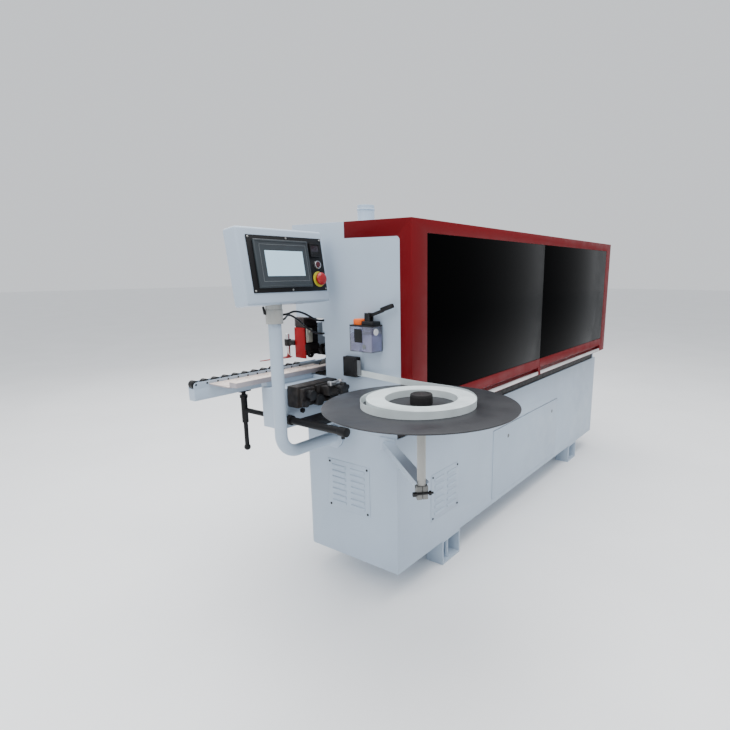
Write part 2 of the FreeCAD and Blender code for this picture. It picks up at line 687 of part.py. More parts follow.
def beam_columns():
    pieces = []
    for x in ("near_column", "far_column"):
        left = f"{x} - column_width / 2"
        column = box(left, "column_side", "base_top", "column_width", "column_thick",
                     "column_top - base_top")
        base = box(f"{left} - 20", "column_side - 20", "base_top", "column_width + 40",
                   "column_thick + 20", "16")
        pieces.append(fuse(column, base))
    return sub_part("beam_columns", group(*pieces))


def beam_head():
    """The block at the beam's front with its red cover, and the rod that holds the flap."""
    length = "beam_start - head_front - head_cover"
    block_x = "head_front + head_cover"
    block = box(block_x, "head_side + 2", "head_low + 14", length, "beam_side + beam_width - head_side - 2",
                "head_high - head_low - 14")
    cover_width = "beam_side + beam_width - head_side"
    cover_tall = "head_high - 46 - head_low"
    front = box("head_front", "head_side", "head_low", "head_cover", cover_width, cover_tall)
    nose = rod("head_front + 30", "head_side - 8", "head_low + 20", "18", "12", "y")
    arm = box("flap_rod_x - 14", "beam_side + beam_width", "head_low + 56", "40",
              "flap_rod_y - beam_side - beam_width + 6", "20")
    bridge = box("flap_rod_x", "beam_side + beam_width - 10", "head_low + 56", "20", "12", "20")
    stem = rod("flap_rod_x", "flap_rod_y", "head_low + flap_thick + slide_gap", "flap_rod_radius",
               "flap_rod_top - head_low - flap_thick - slide_gap")
    pin = rod("flap_rod_x", "flap_rod_y", "head_low - 2", "flap_rod_radius / 2", "12")
    return sub_part("beam_head", fuse(block, front, nose, arm, bridge, stem, pin))


def infeed_flap():
    """A thin tapered plate that swings on the pin under the rod."""
    body = new_body()
    corners = [("flap_rod_x + 12", "flap_rod_y - 12"), ("flap_rod_x + 12", "flap_rod_y + 12"),
               ("flap_rod_x - 12", "flap_rod_y + 12"), ("flap_rod_x - flap_reach", "flap_rod_y + 7"),
               ("flap_rod_x - flap_reach", "flap_rod_y + 1"), ("flap_rod_x - 12", "flap_rod_y - 26")]
    pad(body, "XY_Plane", "head_low", "flap_thick", lambda s: outline(s, corners))
    pocket(body, "XY_Plane", "head_low - 1", "flap_thick + 2",
           lambda s: ring(s, "flap_rod_x", "flap_rod_y", "flap_rod_radius / 2 + running"))
    return sub_part("infeed_flap", body)


# Glue unit and trimming units

ROLLER_X = "glue_x + 230"
ROLLER_Y = "fence - 1 - roller_radius"


def glue_unit():
    """The plate and post, the glue pot, the roller's bracket and pin, and the motor on the pot."""
    plate_top = "base_top + unit_plate"
    pot_low = "base_top + pot_low"
    foot_plate = box("glue_x - unit_plate", "unit_side", "base_top", "glue_length", "unit_depth",
                     "unit_plate")
    post = box("glue_x + unit_plate", "unit_side + 30", plate_top, "140", "unit_depth - 60",
               "pot_low - unit_plate")
    pot = cut(box("glue_x", "unit_side", pot_low, "pot_length", "unit_depth", "pot_height"),
              box("glue_x + pot_wall", "unit_side + pot_wall", pot_low + " + pot_floor",
                  "pot_length - 2 * pot_wall", "unit_depth - 2 * pot_wall", "pot_height"))
    bracket_y = "unit_side + 100"
    bracket = box("glue_x + pot_length - pot_wall", bracket_y, "work_height - glue_bracket_low", "90",
                  f"fence - 14 - ({bracket_y})", "unit_plate")
    pin = rod(ROLLER_X, ROLLER_Y, "work_height - glue_roller_low - 2", "pin_radius",
              "glue_roller_height + 20")
    motor = rod("glue_x + pot_length / 2", "unit_side + 60", pot_low, "glue_motor_radius",
                "glue_motor_height")
    return sub_part("glue_unit", fuse(foot_plate, post, pot, bracket, pin, motor))


def glue_roller():
    low, height = "work_height - glue_roller_low", "glue_roller_height"
    roller = cut(rod(ROLLER_X, ROLLER_Y, low, "roller_radius", height),
                 rod(ROLLER_X, ROLLER_Y, low + " - 1", "pin_radius + running", height + " + 2"))
    return sub_part("glue_roller", roller)


def machine_unit(x, motors):
    """A post on the cabinet with motors that reach to the panel edge, above and below."""
    middle = f"{x} + unit_width / 2"
    pieces = [
        box(x, "unit_side", "base_top", "unit_width", "unit_depth", "unit_plate"),
        box(f"{middle} - unit_post / 2", "unit_side + 40", "base_top + unit_plate", "unit_post",
            "unit_post - 10", "post_height"),
    ]
    for low, tall in motors:
        pieces.append(rod(middle, "unit_side + unit_motor_side", low, "unit_motor_radius", tall))
        pieces.append(box(f"{middle} - unit_post / 2", "unit_side + 90", f"{low} + 20", "unit_post",
                          "unit_motor_side - 85", "unit_motor_radius"))
    return fuse(*pieces)


def trimming_units():
    """The end trimming, flush trimming and buffing units, one post each."""
    levels = (("base_top + 60", "110"), ("work_height + 80", "150"))
    pieces = []
    for x in ("trim_x - 440", "trim_x - unit_width / 2", "trim_x + 330"):
        pieces.append(machine_unit(x, levels))
    spindle_y = "unit_side + trim_side"
    pin = rod("trim_x", spindle_y, "work_height - 90", "pin_radius", "200")
    lower = box("trim_x - 12", f"{spindle_y} - 10", "base_top + 120", "24", "20",
                "work_height - cutter_low - slide_gap - base_top - 120")
    upper = box("trim_x - 12", f"{spindle_y} - 10", "work_height + 100", "24", "20", "40")
    pieces[1] = fuse(pieces[1], pin, lower, upper)
    return sub_part("trimming_units", group(*pieces))


def trim_cutters():
    """The upper and lower cutter heads, on one vertical spindle."""
    spindle_y = "unit_side + trim_side"
    low, link_height = "work_height - cutter_low", "2 * cutter_low"
    pieces = [rod("trim_x", spindle_y, low, "pin_radius + 6", link_height)]
    for start in (low, "work_height + cutter_high"):
        pieces.append(rod("trim_x", spindle_y, start, "cutter_radius", "cutter_height"))
    bore = rod("trim_x", spindle_y, low + " - 1", "pin_radius + running",
               "cutter_low + cutter_high + cutter_height + 2")
    return sub_part("trim_cutters", cut(fuse(*pieces), bore))


# Infeed

def infeed_console():
    """The folded box under the table, open below, with a hole right through for the support tube."""
    shell = cut(
        box("-console_reach", "console_side", "console_low", "console_reach", "console_width",
            "console_top - console_low"),
        box("console_skin - console_reach", "console_side + console_skin",
            "console_low - 1", "console_reach - 2 * console_skin",
            "console_width - 2 * console_skin", "console_top - console_low - console_skin + 1"),
        rod("-post_x", "console_side - 1", "branch_z", "branch_radius + slide_gap",
            "console_width + 2", "y"))
    carrier = box("8 - console_reach", "fence + 5", "console_top", "console_reach - 8",
                  "bar_width - 9", "work_height - bar_height - console_top")
    return sub_part("infeed_console", group(shell, carrier))


def infeed_table():
    bar = box("-bar_start", "fence", "work_height - bar_height", "bar_start + bar_end",
              "bar_width", "bar_height")
    plate_y = "fence + bar_width"
    plate = box("-plate_start", plate_y + " - 1", "plate_top - plate_thick",
                "plate_start + bar_end", f"plate_side - ({plate_y}) + 1", "plate_thick")
    return sub_part("infeed_table", fuse(bar, plate))


def infeed_rail():
    """A closed lower box with a channel on it that carries the rollers' axles."""
    length = "rail_start + rail_end"
    outer = box("-rail_start", "rail_side", "rail_low", length, "rail_width", "rail_top - rail_low")
    body = rounded(outer, "rail_round", lambda e: straight(e, Y_AXIS)
                   and near(e.Vertexes[0].Point, x="-rail_start", z="rail_top"))
    channel = box("-rail_start - 1", "rail_side + rail_wall", "rail_deck", length + " + 2",
                  "rail_width - 2 * rail_wall", "rail_top - rail_deck + 1")
    inside = box("rail_wall - rail_start", "rail_side + rail_wall", "rail_low + rail_wall",
                 length + " - 2 * rail_wall", "rail_width - 2 * rail_wall",
                 "rail_deck - rail_low - 2 * rail_wall")
    holes = [rod(roller_x(i), "rail_side - 1", ROLLER_AXLE_Z, "axle_radius + running",
                 "rail_width + 2", "y") for i in range(int(number("roller_count")))]
    return sub_part("infeed_rail", cut(body, channel, inside, *holes))


ROLLER_AXLE_Z = "work_height - rail_roller"


def roller_x(index):
    return f"10 - rail_start + roller_pitch * {index}"


def rail_rollers():
    for i in range(int(number("roller_count"))):
        wheel = rod(roller_x(i), "rail_side + rail_wall + roller_gap", ROLLER_AXLE_Z, "rail_roller",
                    "rail_width - 2 * rail_wall - 2 * roller_gap", "y")
        axle = rod(roller_x(i), "rail_side - 1", ROLLER_AXLE_Z, "axle_radius", "rail_width + 2", "y")
        sub_part(f"rail_roller_{i + 1:02d}", fuse(wheel, axle))


def rail_support():
    """The post under the rail, and the telescopic tube that carries it from the end wall."""
    x = "-post_x"
    pieces = [
        box("-post_x - 25", "post_y - 17", "rail_low - 5", "50", "34", "5"),
        rod(x, "post_y", "post_collar - 8", "post_tube + 3", "12"),
        rod(x, "post_y", "post_sleeve", "post_tube", "post_collar - post_sleeve"),
        rod(x, "post_y", "post_low", "post_rod", "rail_low - 5 - post_low"),
        ball(x, "post_y", "post_low", "ball_radius"),
        rod(x, "console_side - 12", "branch_z", "branch_radius", "post_y - console_side + 12", "y"),
        rod(x, "tube_end", "branch_z", "tube_radius", "console_side - 10 - tube_end", "y"),
        rod(x, "console_side - 32", "branch_z", "tube_radius + 5", "20", "y"),
        rod(x, "tube_end", "branch_z", "tube_cap", "36", "y"),
        rod(x, "tube_end + 20", "branch_z - tube_cap - 9", "7", "12"),
        box(x, "console_side - 145", "branch_z - 11", "post_x", "80", "22"),
        box("-8", "console_side - 155", "branch_z - 26", "8", "100", "52"),
    ]
    return sub_part("rail_support", fuse(*pieces))


def tape_feeder():
    """The tape feed: a cast block with clamp knobs, and the pinch roller's air cylinder."""
    x = "-feeder_reach"
    pieces = [
        box(x, "feeder_side", "feeder_low", "feeder_reach", "feeder_width", "feeder_top - feeder_low"),
        rod("-knob_x", "knob_y - knob_thick / 2", "knob_z", "6", "feeder_side - knob_y + knob_thick / 2 + 2",
            "y"),
        box("-knob_x - 45", "feeder_side - 42", "knob_z - 30", "84", "43", "64"),
        rod("-feeder_reach + 40", "feeder_side - 24", "feeder_low + 49", "20", "25", "y"),
        rod("-feeder_reach + 15", "feeder_side - 16", "feeder_low + 20", "14", "17", "y"),
        rod("-feeder_reach + 88", "feeder_side - 12", "feeder_low + 22", "24", "13", "y"),
        rod("-feeder_reach + 150", "feeder_side - 10", "feeder_low + 20", "9", "11", "y"),
    ]
    return sub_part("tape_feeder", fuse(*pieces))


def star_knob():
    """A five-lobed knob that turns on the feeder's screw."""
    body = new_body()
    side = "knob_y - knob_thick - 1"
    pad(body, "XZ_Plane", side, "knob_thick", lambda s: ring(s, "-knob_x", "knob_z", "knob_radius * 0.72"))
    lobes = [body]
    for i in range(int(number("lobes"))):
        angle = 2 * math.pi * i / number("lobes") + math.pi / 2
        lobes.append(rod(f"-knob_x + knob_radius * {0.62 * math.cos(angle)}", side,
                         f"knob_z + knob_radius * {0.62 * math.sin(angle)}", "knob_radius * 0.38",
                         "knob_thick", "y"))
    solid = fuse(*lobes)
    hole = rod("-knob_x", "knob_y - knob_thick / 2 - 0.3", "knob_z", "6 + running", "knob_thick", "y")
    return sub_part("star_knob", cut(solid, hole))


def tape_guide():
    """The guide box on the wall with the slot that the tape runs through."""
    block = box("-guide_reach", "guide_side", "guide_low", "guide_reach", "guide_width", "guide_height")
    plate = box("4 - guide_reach", "guide_side - 18", "guide_low + 10", "3", "20", "guide_height - 20")
    slot = box("slot_start - guide_reach", "guide_side - 1", "guide_low + slot_low", "slot_width",
               "guide_width + 2", "tape_width + slot_room")
    return sub_part("tape_guide", fuse(cut(block, slot), plate))


LEAD_LEAN = 3
LEAD_STRAIGHT = 30


def tape_lead():
    """The tape on its edge, from the coil's side to the slot of the guide."""
    thick, width = number("tape_thick"), number("tape_width")
    start_x = -number("tray_x") + number("coil_outer") + number("tape_gap") + thick / 2
    start_y = -number("tray_y")
    end_x = -number("guide_reach") + number("slot_start") + number("slot_width") / 2 - thick / 2
    end_y = number("guide_side") + number("guide_width") / 2
    leaving = FreeCAD.Vector(start_x + LEAD_LEAN, start_y + number("coil_outer"), 0)
    entering = FreeCAD.Vector(end_x - 1, number("guide_side") - LEAD_STRAIGHT, 0)
    middle_line = rounded_route([FreeCAD.Vector(start_x, start_y, 0), leaving, entering,
                                 FreeCAD.Vector(end_x, end_y, 0)])
    strip = middle_line.makeOffset2D(thick / 2, join=2, openResult=True)
    other = middle_line.makeOffset2D(-thick / 2, join=2, openResult=True)
    ends = [Part.LineSegment(strip.OrderedVertexes[i].Point, other.OrderedVertexes[i].Point).toShape()
            for i in (0, -1)]
    edges = Part.__sortEdges__(strip.Edges + other.Edges + ends)
    solid = Part.Face(Part.Wire(edges)).extrude(FreeCAD.Vector(0, 0, width))
    obj = doc.addObject("Part::Feature", "Strip")
    obj.Shape = solid
    place(obj, "0", "0", "tray_top + tape_gap")
    return sub_part("tape_lead", group(obj))


# Oil pump

def oil_reservoir():
    tank = cut(box("-tank_reach", "tank_side", "tank_low", "tank_reach", "tank_width", "tank_height"),
               box("tank_wall - tank_reach", "tank_side + tank_wall", "tank_low + tank_wall",
                   "tank_reach - 2 * tank_wall", "tank_width - 2 * tank_wall", "tank_height"))
    return sub_part("oil_reservoir", tank)


TANK_TOP = "tank_low + tank_height"


def oil_pump():
    """The lid with the filler cap and the pump block with the lever's two cheeks."""
    middle = "-tank_reach / 2"
    lid = box("-tank_reach", "tank_side", TANK_TOP, "tank_reach", "tank_width", "5")
    cap = rod(middle, "tank_side + 80", f"{TANK_TOP} + 5", "21", "12")
    block = box(f"{middle} - 18", "tank_side + 12", f"{TANK_TOP} + 5", "36", "42", "12")
    cheeks = [box(f"{middle} {offset}", "lever_pivot_y - 12", f"{TANK_TOP} + 15", "5", "24",
                  f"lever_pivot_z + 12 - ({TANK_TOP} + 15)")
              for offset in ("- lever_width / 2 - 5.4", "+ lever_width / 2 + 0.4")]
    pin = rod(f"{middle} - lever_width / 2 - 5", "lever_pivot_y", "lever_pivot_z", "3",
              "lever_width + 10", "x")
    return sub_part("oil_pump", fuse(lid, cap, block, *cheeks, pin))


def oil_handle():
    """The lever, drawn flat along -Y at its pivot and then raised."""
    arm = box("-lever_width / 2", "-lever_length", "-7", "lever_width", "lever_length + 8", "14")
    grip = box("-lever_width / 2 - 2", "-lever_length", "-11", "lever_width + 4", "42", "22")
    hole = rod("-lever_width / 2 - 3", "0", "0", "3 + running", "lever_width + 6", "x")
    return sub_part("oil_handle", cut(fuse(arm, grip), hole),
                    x="-(" + CENTRE_X + ") - tank_reach / 2", y="lever_pivot_y - (" + CENTRE_Y + ")",
                    z="lever_pivot_z", tilt="lever_rise")


# Coil tray

def tray_bracket():
    """The folded arm from the cabinet, the clamp at its end and the spindle tube."""
    run = "sqrt(tray_x ^ 2 + (tray_y + arm_foot_y) ^ 2)"
    angle = math.degrees(math.atan2(-number("tray_y + arm_foot_y"), -number("tray_x")))

    def along(x, y, z, length, width, height):
        """A box drawn along the arm from its foot."""
        turn = math.radians(angle)
        obj = box(f"({x}) * {math.cos(turn)} - ({y}) * {math.sin(turn)}",
                  f"arm_foot_y + ({x}) * {math.sin(turn)} + ({y}) * {math.cos(turn)}",
                  z, length, width, height)
        base = obj.Placement.Base
        obj.Placement = FreeCAD.Placement(base, FreeCAD.Rotation(Z_AXIS, angle))
        return obj

    channel = cut(
        along("0", "-arm_width / 2", "arm_z", f"{run} + spindle_radius + 8", "arm_width", "arm_depth"),
        along("-1", "arm_skin - arm_width / 2", "arm_z - arm_skin", f"{run} - 2 * spindle_radius",
              "arm_width - 2 * arm_skin", "arm_depth"),
        box("0", "-200", "arm_z - 10", "100", "500", "arm_depth + 20"))
    foot_plate = box("-arm_skin * 2", "arm_foot_y - 45", "arm_z - 12", "arm_skin * 2", "80",
                     "arm_depth + 24")
    tube = rod("-tray_x", "-tray_y", "spindle_low", "spindle_radius", "spindle_top - spindle_low")
    clamp = box("-tray_x - clamp_width / 2", "-tray_y - clamp_width / 2", "spindle_low - clamp_height",
                "clamp_width", "clamp_width", "clamp_height")
    through = rod("-tray_x - 34", "-tray_y", "spindle_low - clamp_height / 2", "5", "68", "x")
    nuts = [rod(x, "-tray_y", "spindle_low - clamp_height / 2", "9", "8", "x")
            for x in ("-tray_x - clamp_width / 2 - 10", "-tray_x + clamp_width / 2 + 2")]
    bore = rod("-tray_x", "-tray_y", "spindle_top - 60", "spindle_bore", "61")
    return sub_part("tray_bracket", cut(fuse(channel, foot_plate, tube, clamp, through, *nuts), bore))


def coil_tray():
    """A disc with a turned-down rim, a hub on top and a pin that drops into the spindle tube."""
    under = "tray_top - tray_thick"
    hub_top = "tray_top + hub_height"
    profile = [
        ("0", "spindle_top - 50"), ("spindle_bore - running", "spindle_top - 50"),
        ("spindle_bore - running", "spindle_top + slide_gap"),
        ("boss_radius", "spindle_top + slide_gap"), ("boss_radius", under),
        ("tray_radius - 3", under), ("tray_radius - 3", "tray_top - tray_rim"),
        ("tray_radius", "tray_top - tray_rim"), ("tray_radius", "tray_top"),
        ("hub_radius", "tray_top"), ("hub_radius", hub_top), ("0", hub_top),
    ]
    return sub_part("coil_tray", turned(profile), x="-tray_x - (" + CENTRE_X + ")",
                    y="-tray_y - (" + CENTRE_Y + ")")


def tape_coil():
    coil = cut(rod("-tray_x", "-tray_y", "tray_top", "coil_outer", "tape_width"),
               rod("-tray_x", "-tray_y", "tray_top - 1", "coil_inner", "tape_width + 2"))
    return sub_part("tape_coil", coil)


# Control panel

def control_arm():
    """The bent tube that carries the panel: a flange, the run, the bend, the mast, the collar."""
    flange = rod("-8", "mast_y", "mast_z", "mast_flange", "8", "x")
    run = rod("mast_bend - mast_x", "mast_y", "mast_z", "mast_radius", "mast_x - mast_bend", "x")
    bend = doc.addObject("Part::Torus", "Bend")
    bind(bend, Radius1="mast_bend", Radius2="mast_radius", Angle3="90")
    bend.Placement = FreeCAD.Placement(FreeCAD.Vector(), FreeCAD.Rotation(X_AXIS, 90)
                                       * FreeCAD.Rotation(Z_AXIS, 180))
    place(bend, "mast_bend - mast_x", "mast_y", "mast_z + mast_bend")
    mast = rod("-mast_x", "mast_y", "mast_z + mast_bend", "mast_radius",
               "mast_top - mast_z - mast_bend")
    collar = rod("-mast_x", "mast_y", "mast_top - collar_height", "mast_collar", "collar_height")
    ports = [rod("-mast_x + mast_collar - 12", y, z, "hose_radius + 2", "16", "x")
             for y, z in (("mast_y + 6", "mast_top - 22"), ("mast_y + 12", "mast_top - 42"))]
    return sub_part("control_arm", fuse(flange, run, bend, mast, collar, *ports))


def tilted_box(x, y, z, length, width, height):
    """A box drawn in the panel's own leaning frame, at its lower front left corner."""
    obj = box("0", "0", "0", length, width, height)
    lean = math.radians(number("panel_tilt"))
    obj.Placement = FreeCAD.Placement(FreeCAD.Vector(), FreeCAD.Rotation(X_AXIS, -math.degrees(lean)))
    place(obj, f"{x} - panel_x", f"panel_y + ({y}) * {math.cos(lean)} + ({z}) * {math.sin(lean)}",
          f"panel_z - ({y}) * {math.sin(lean)} + ({z}) * {math.cos(lean)}")
    return obj


def tilted_rod(x, y, z, radius, length):
    """A cylinder along the panel's own depth."""
    lean = math.radians(number("panel_tilt"))
    obj = rod("0", "0", "0", radius, length)
    turn = FreeCAD.Rotation(X_AXIS, -math.degrees(lean)) * ALONG["y"]
    obj.Placement = FreeCAD.Placement(FreeCAD.Vector(), turn)
    place(obj, f"{x} - panel_x", f"panel_y + ({y}) * {math.cos(lean)} + ({z}) * {math.sin(lean)}",
          f"panel_z - ({y}) * {math.sin(lean)} + ({z}) * {math.cos(lean)}")
    return obj


def panel_box():
    shell = tilted_box("0", "0", "0", "panel_width", "panel_depth", "panel_height")
    hollow = tilted_box("panel_skin", "panel_skin", "panel_skin", "panel_width - 2 * panel_skin",
                        "panel_depth - 2 * panel_skin", "panel_height - 2 * panel_skin")
    holes = [tilted_rod("button_x", "-1", z, "stem_radius + 1", "panel_skin + 2")
             for z in ("start_z", "stop_z")]
    neck = rod("-mast_x", "mast_y", "mast_top + slide_gap", "neck_radius",
               "panel_z - mast_top + 6")
    return sub_part("panel_box", fuse(cut(shell, hollow, *holes), neck))


def control_plate():
    """The front plate with the temperature meter, the button's bezel and the stop's collar."""
    proud = "-plate_proud"
    plate = tilted_box("plate_left", proud, "plate_low", "plate_width", "plate_proud", "plate_height")
    meter = tilted_box("meter_left", "-plate_proud - meter_proud", "meter_low", "meter_size",
                       "meter_proud", "meter_size")
    bezel = tilted_rod("button_x", "-plate_proud - bezel_height", "start_z", "bezel_radius",
                       "bezel_height")
    collar = tilted_rod("button_x", "-plate_proud - stop_collar_thick", "stop_z", "stop_collar",
                        "stop_collar_thick")
    holes = [tilted_rod("button_x", "-plate_proud - bezel_height - 1", z, "stem_radius + running",
                        "bezel_height + plate_proud + 2") for z in ("start_z", "stop_z")]
    return sub_part("control_plate", cut(fuse(plate, meter, bezel, collar), *holes))


def touch_screen():
    screen = tilted_box("screen_left", "-plate_proud - screen_proud", "screen_low", "screen_width",
                        "screen_proud", "screen_height")
    return sub_part("touch_screen", group(screen))


def start_button():
    front = "-plate_proud - bezel_height - button_proud"
    button = tilted_rod("button_x", front, "start_z", "stem_radius",
                        "plate_proud + bezel_height + button_proud + stem_depth")
    return sub_part("start_button", group(button))


def estop_button():
    """The mushroom head and its stem, drawn clear of the collar by more than its travel."""
    head_low = "-plate_proud - mushroom_low"
    stem = tilted_rod("button_x", head_low, "stop_z", "stem_radius",
                      "plate_proud + mushroom_low + stem_depth")
    head = tilted_rod("button_x", f"{head_low} - mushroom_thick", "stop_z", "mushroom_radius",
                      "mushroom_thick")
    return sub_part("estop_button", fuse(stem, head))


# Air hoses, held at both ends

def air_hose(name, points):
    """A hose along straight runs joined by tangent arcs."""
    path = rounded_route([FreeCAD.Vector(*point) for point in points])
    start = path.OrderedEdges[0]
    circle = Part.Circle(path.OrderedVertexes[0].Point, start.tangentAt(start.FirstParameter),
                         number("hose_radius"))
    obj = doc.addObject("Part::Feature", "Hose")
    obj.Shape = path.makePipeShell([Part.Wire(circle.toShape())], True, False)
    section = math.pi * number("hose_radius") ** 2
    print(name, "length", round(path.Length), "volume over section times length",
          round(obj.Shape.Volume / (section * path.Length), 4))
    return sub_part(name, obj)


def air_hoses():
    """Both leave the ports behind the notch's edge and end in the mast's collar."""
    air_hose("hose_upper", [
        (4, 367, 1126), (-24, 367, 1126), (-60, 362, 1140), (-98, 357, 1158), (-138, 349, 1170),
        (-180, 337, 1175), (-216, 330, 1166), (-246, 330, 1166),
    ])
    air_hose("hose_lower", [
        (4, 367, 1074), (-20, 367, 1074), (-48, 375, 1084), (-76, 386, 1106), (-106, 392, 1134),
        (-142, 388, 1154), (-176, 372, 1160), (-202, 353, 1155), (-222, 339, 1148),
        (-245.6, 336, 1146),
    ])


base_cabinet()
machine_feet()
vent_covers()
cover_screws()
service_door()
hood_panels()
hood_frame()
lift_doors()
dust_outlet()
feed_beam()
feed_chain()
sprocket("idler_sprocket", "near_sprocket")
sprocket("drive_sprocket", "far_sprocket")
feed_motor()
pressure_beam()
beam_wheels()
beam_columns()
beam_head()
infeed_flap()
glue_unit()
glue_roller()
trimming_units()
trim_cutters()
infeed_console()
infeed_table()
infeed_rail()
rail_rollers()
rail_support()
tape_feeder()
star_knob()
tape_guide()
tape_lead()
oil_reservoir()
oil_pump()
oil_handle()
tray_bracket()
coil_tray()
tape_coil()
control_arm()
panel_box()
control_plate()
touch_screen()
start_button()
estop_button()
air_hoses()

doc.recompute()
for obj in doc.Objects:
    if "Invalid" in obj.State or "Error" in obj.State:
        raise ValueError(f"{obj.Label} ({obj.Name}) did not compute: {obj.State}")
for obj in SUB_PARTS:
    if obj.Shape.isNull() or not obj.Shape.isValid() or not obj.Shape.Solids:
        raise ValueError(obj.Label + " has no valid solid")

os.makedirs("parts", exist_ok=True)
for obj in SUB_PARTS:
    obj.Shape.exportStep(f"parts/{obj.Label}.step")
bounds = FreeCAD.BoundBox()
for obj in SUB_PARTS:
    bounds.add(obj.Shape.BoundBox)
print(len(SUB_PARTS), "sub-parts", [round(v, 1) for v in (
    bounds.XMin, bounds.XMax, bounds.YMin, bounds.YMax, bounds.ZMin, bounds.ZMax)])
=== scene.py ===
# %% [markdown]
# # An edge banding machine, finished around a fixed frame
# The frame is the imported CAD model: every node already has its size and its place, in metres.
# This lesson gives it its paint, its rounded edges, its rubber, its glass and its small parts.
# Nothing of the frame is moved. A plain solid that needs a better shape is replaced by a new piece.

# %% Load the frame
import json
import math

import bmesh
import bpy
from mathutils import Matrix, Vector

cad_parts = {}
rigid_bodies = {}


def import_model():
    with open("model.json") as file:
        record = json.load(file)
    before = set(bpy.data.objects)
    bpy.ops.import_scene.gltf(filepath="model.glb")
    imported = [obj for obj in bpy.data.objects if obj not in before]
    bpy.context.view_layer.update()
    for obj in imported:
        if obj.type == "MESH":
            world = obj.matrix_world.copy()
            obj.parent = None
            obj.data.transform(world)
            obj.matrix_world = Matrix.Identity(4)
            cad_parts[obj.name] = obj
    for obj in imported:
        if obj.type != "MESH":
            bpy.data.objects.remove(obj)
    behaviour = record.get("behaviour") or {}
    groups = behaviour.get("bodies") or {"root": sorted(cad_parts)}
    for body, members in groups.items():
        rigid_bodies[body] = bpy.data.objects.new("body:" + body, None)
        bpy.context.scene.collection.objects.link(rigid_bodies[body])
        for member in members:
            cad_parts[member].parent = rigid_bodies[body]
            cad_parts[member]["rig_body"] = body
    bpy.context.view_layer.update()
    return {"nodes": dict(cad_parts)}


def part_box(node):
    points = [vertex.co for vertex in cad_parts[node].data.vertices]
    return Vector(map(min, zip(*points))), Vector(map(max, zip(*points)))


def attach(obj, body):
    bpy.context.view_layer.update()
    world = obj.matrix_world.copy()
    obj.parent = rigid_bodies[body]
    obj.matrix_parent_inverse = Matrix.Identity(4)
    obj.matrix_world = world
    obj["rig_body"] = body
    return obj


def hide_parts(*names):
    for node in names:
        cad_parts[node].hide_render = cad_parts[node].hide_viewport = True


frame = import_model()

# %% [markdown]
# A machine drawing measures from one corner of the cabinet, in millimetres. New pieces are drawn
# the same way, so their numbers read like the drawing's, and one matrix takes them to the frame.
# The control panel leans back, so it has a matrix of its own: its pieces are drawn upright, from
# the panel's lower front corner, and the matrix leans them.

# %% Where drawings start
MM = 0.001
cabinet_corner = Vector(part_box("base_cabinet")[0])
cabinet_corner.z = 0
FLOOR_PLAN = Matrix.Translation(cabinet_corner) @ Matrix.Scale(MM, 4)
PANEL_CORNER = Vector((-430, 270, 1210))
PANEL_LEAN = math.radians(-8.6)
PANEL_PLAN = FLOOR_PLAN @ Matrix.Translation(PANEL_CORNER) @ Matrix.Rotation(PANEL_LEAN, 4, "X")
body_of = {node: piece["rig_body"] for node, piece in frame["nodes"].items()}
print("drawings start at", [round(v, 4) for v in cabinet_corner])

# %% [markdown]
# The camera comes first, because hoses are judged from it. It stands in front of the infeed end,
# a little above the tray, and looks slightly down. The lens shift frames the machine left of the
# middle without turning the camera, which would bend the upright lines.

# %% Camera
camera_data = bpy.data.cameras.new("camera")
camera_data.sensor_width = 36
camera_data.lens = 26.255
camera_data.shift_x, camera_data.shift_y = -0.07945, 0.0322
camera_data.clip_end = 200
camera = bpy.data.objects.new("camera", camera_data)
heading, pitch = math.radians(34.6136), math.radians(12.4456)
looking = Vector((math.cos(pitch) * math.cos(heading), math.cos(pitch) * math.sin(heading), -math.sin(pitch)))
camera.location = (-2.488, -1.2165, 1.320)
camera.rotation_euler = looking.to_track_quat("-Z", "Y").to_euler()
bpy.context.scene.collection.objects.link(camera)
bpy.context.scene.camera = camera
print("camera at", tuple(camera.location))

# %% [markdown]
# Two air hoses leave a block behind the notch in the end wall and swing over to the mast's collar.
# A hose is a curve with a round bevel. The points are the drawing's own corners, and a NURBS
# spline of order 3 passes near them in one smooth line, as a stiff hose bends. The bevel is one
# metre and each point scales it down to the hose, because a curve counts that scale in its box.

# %% Hose routes, in millimetres
HOSE_RADIUS = 4
HOSES = {
    "hose_upper": ([(4, 367, 1126), (-24, 367, 1126), (-60, 362, 1140), (-98, 357, 1158),
                    (-138, 349, 1170), (-180, 337, 1175), (-216, 330, 1166), (-246, 330, 1166)], 0.262),
    "hose_lower": ([(4, 367, 1074), (-20, 367, 1074), (-48, 375, 1084), (-76, 386, 1106),
                    (-106, 392, 1134), (-142, 388, 1154), (-176, 372, 1160), (-202, 353, 1155),
                    (-222, 339, 1148), (-245.6, 336, 1146)], 0.292),
}


def hose(name, points):
    curve = bpy.data.curves.new(name, "CURVE")
    curve.dimensions = "3D"
    curve.bevel_depth = 1
    curve.bevel_resolution = 5
    curve.use_fill_caps = True
    spline = curve.splines.new("NURBS")
    spline.points.add(len(points) - 1)
    for control, point in zip(spline.points, points):
        control.co = (*(FLOOR_PLAN @ Vector(point)), 1)
        control.radius = HOSE_RADIUS * MM
    spline.order_u = 3
    spline.use_endpoint_u = True
    spline.resolution_u = 10
    piece = bpy.data.objects.new(name + "_line", curve)
    bpy.context.scene.collection.objects.link(piece)
    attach(piece, body_of[name])
    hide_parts(name)
    return piece


hoses = []
for name, (points, length) in HOSES.items():
    hoses.append(hose(name, points))
    print(name, len(points), "points")

# %% [markdown]
# The machine stands on a plain pale floor under soft studio light: an even sky, one very large
# lamp overhead, which makes level faces brighter than upright ones, and two weaker lamps for the
# infeed end and the back. Large lamps give the soft shadows that show pressed sheet best.

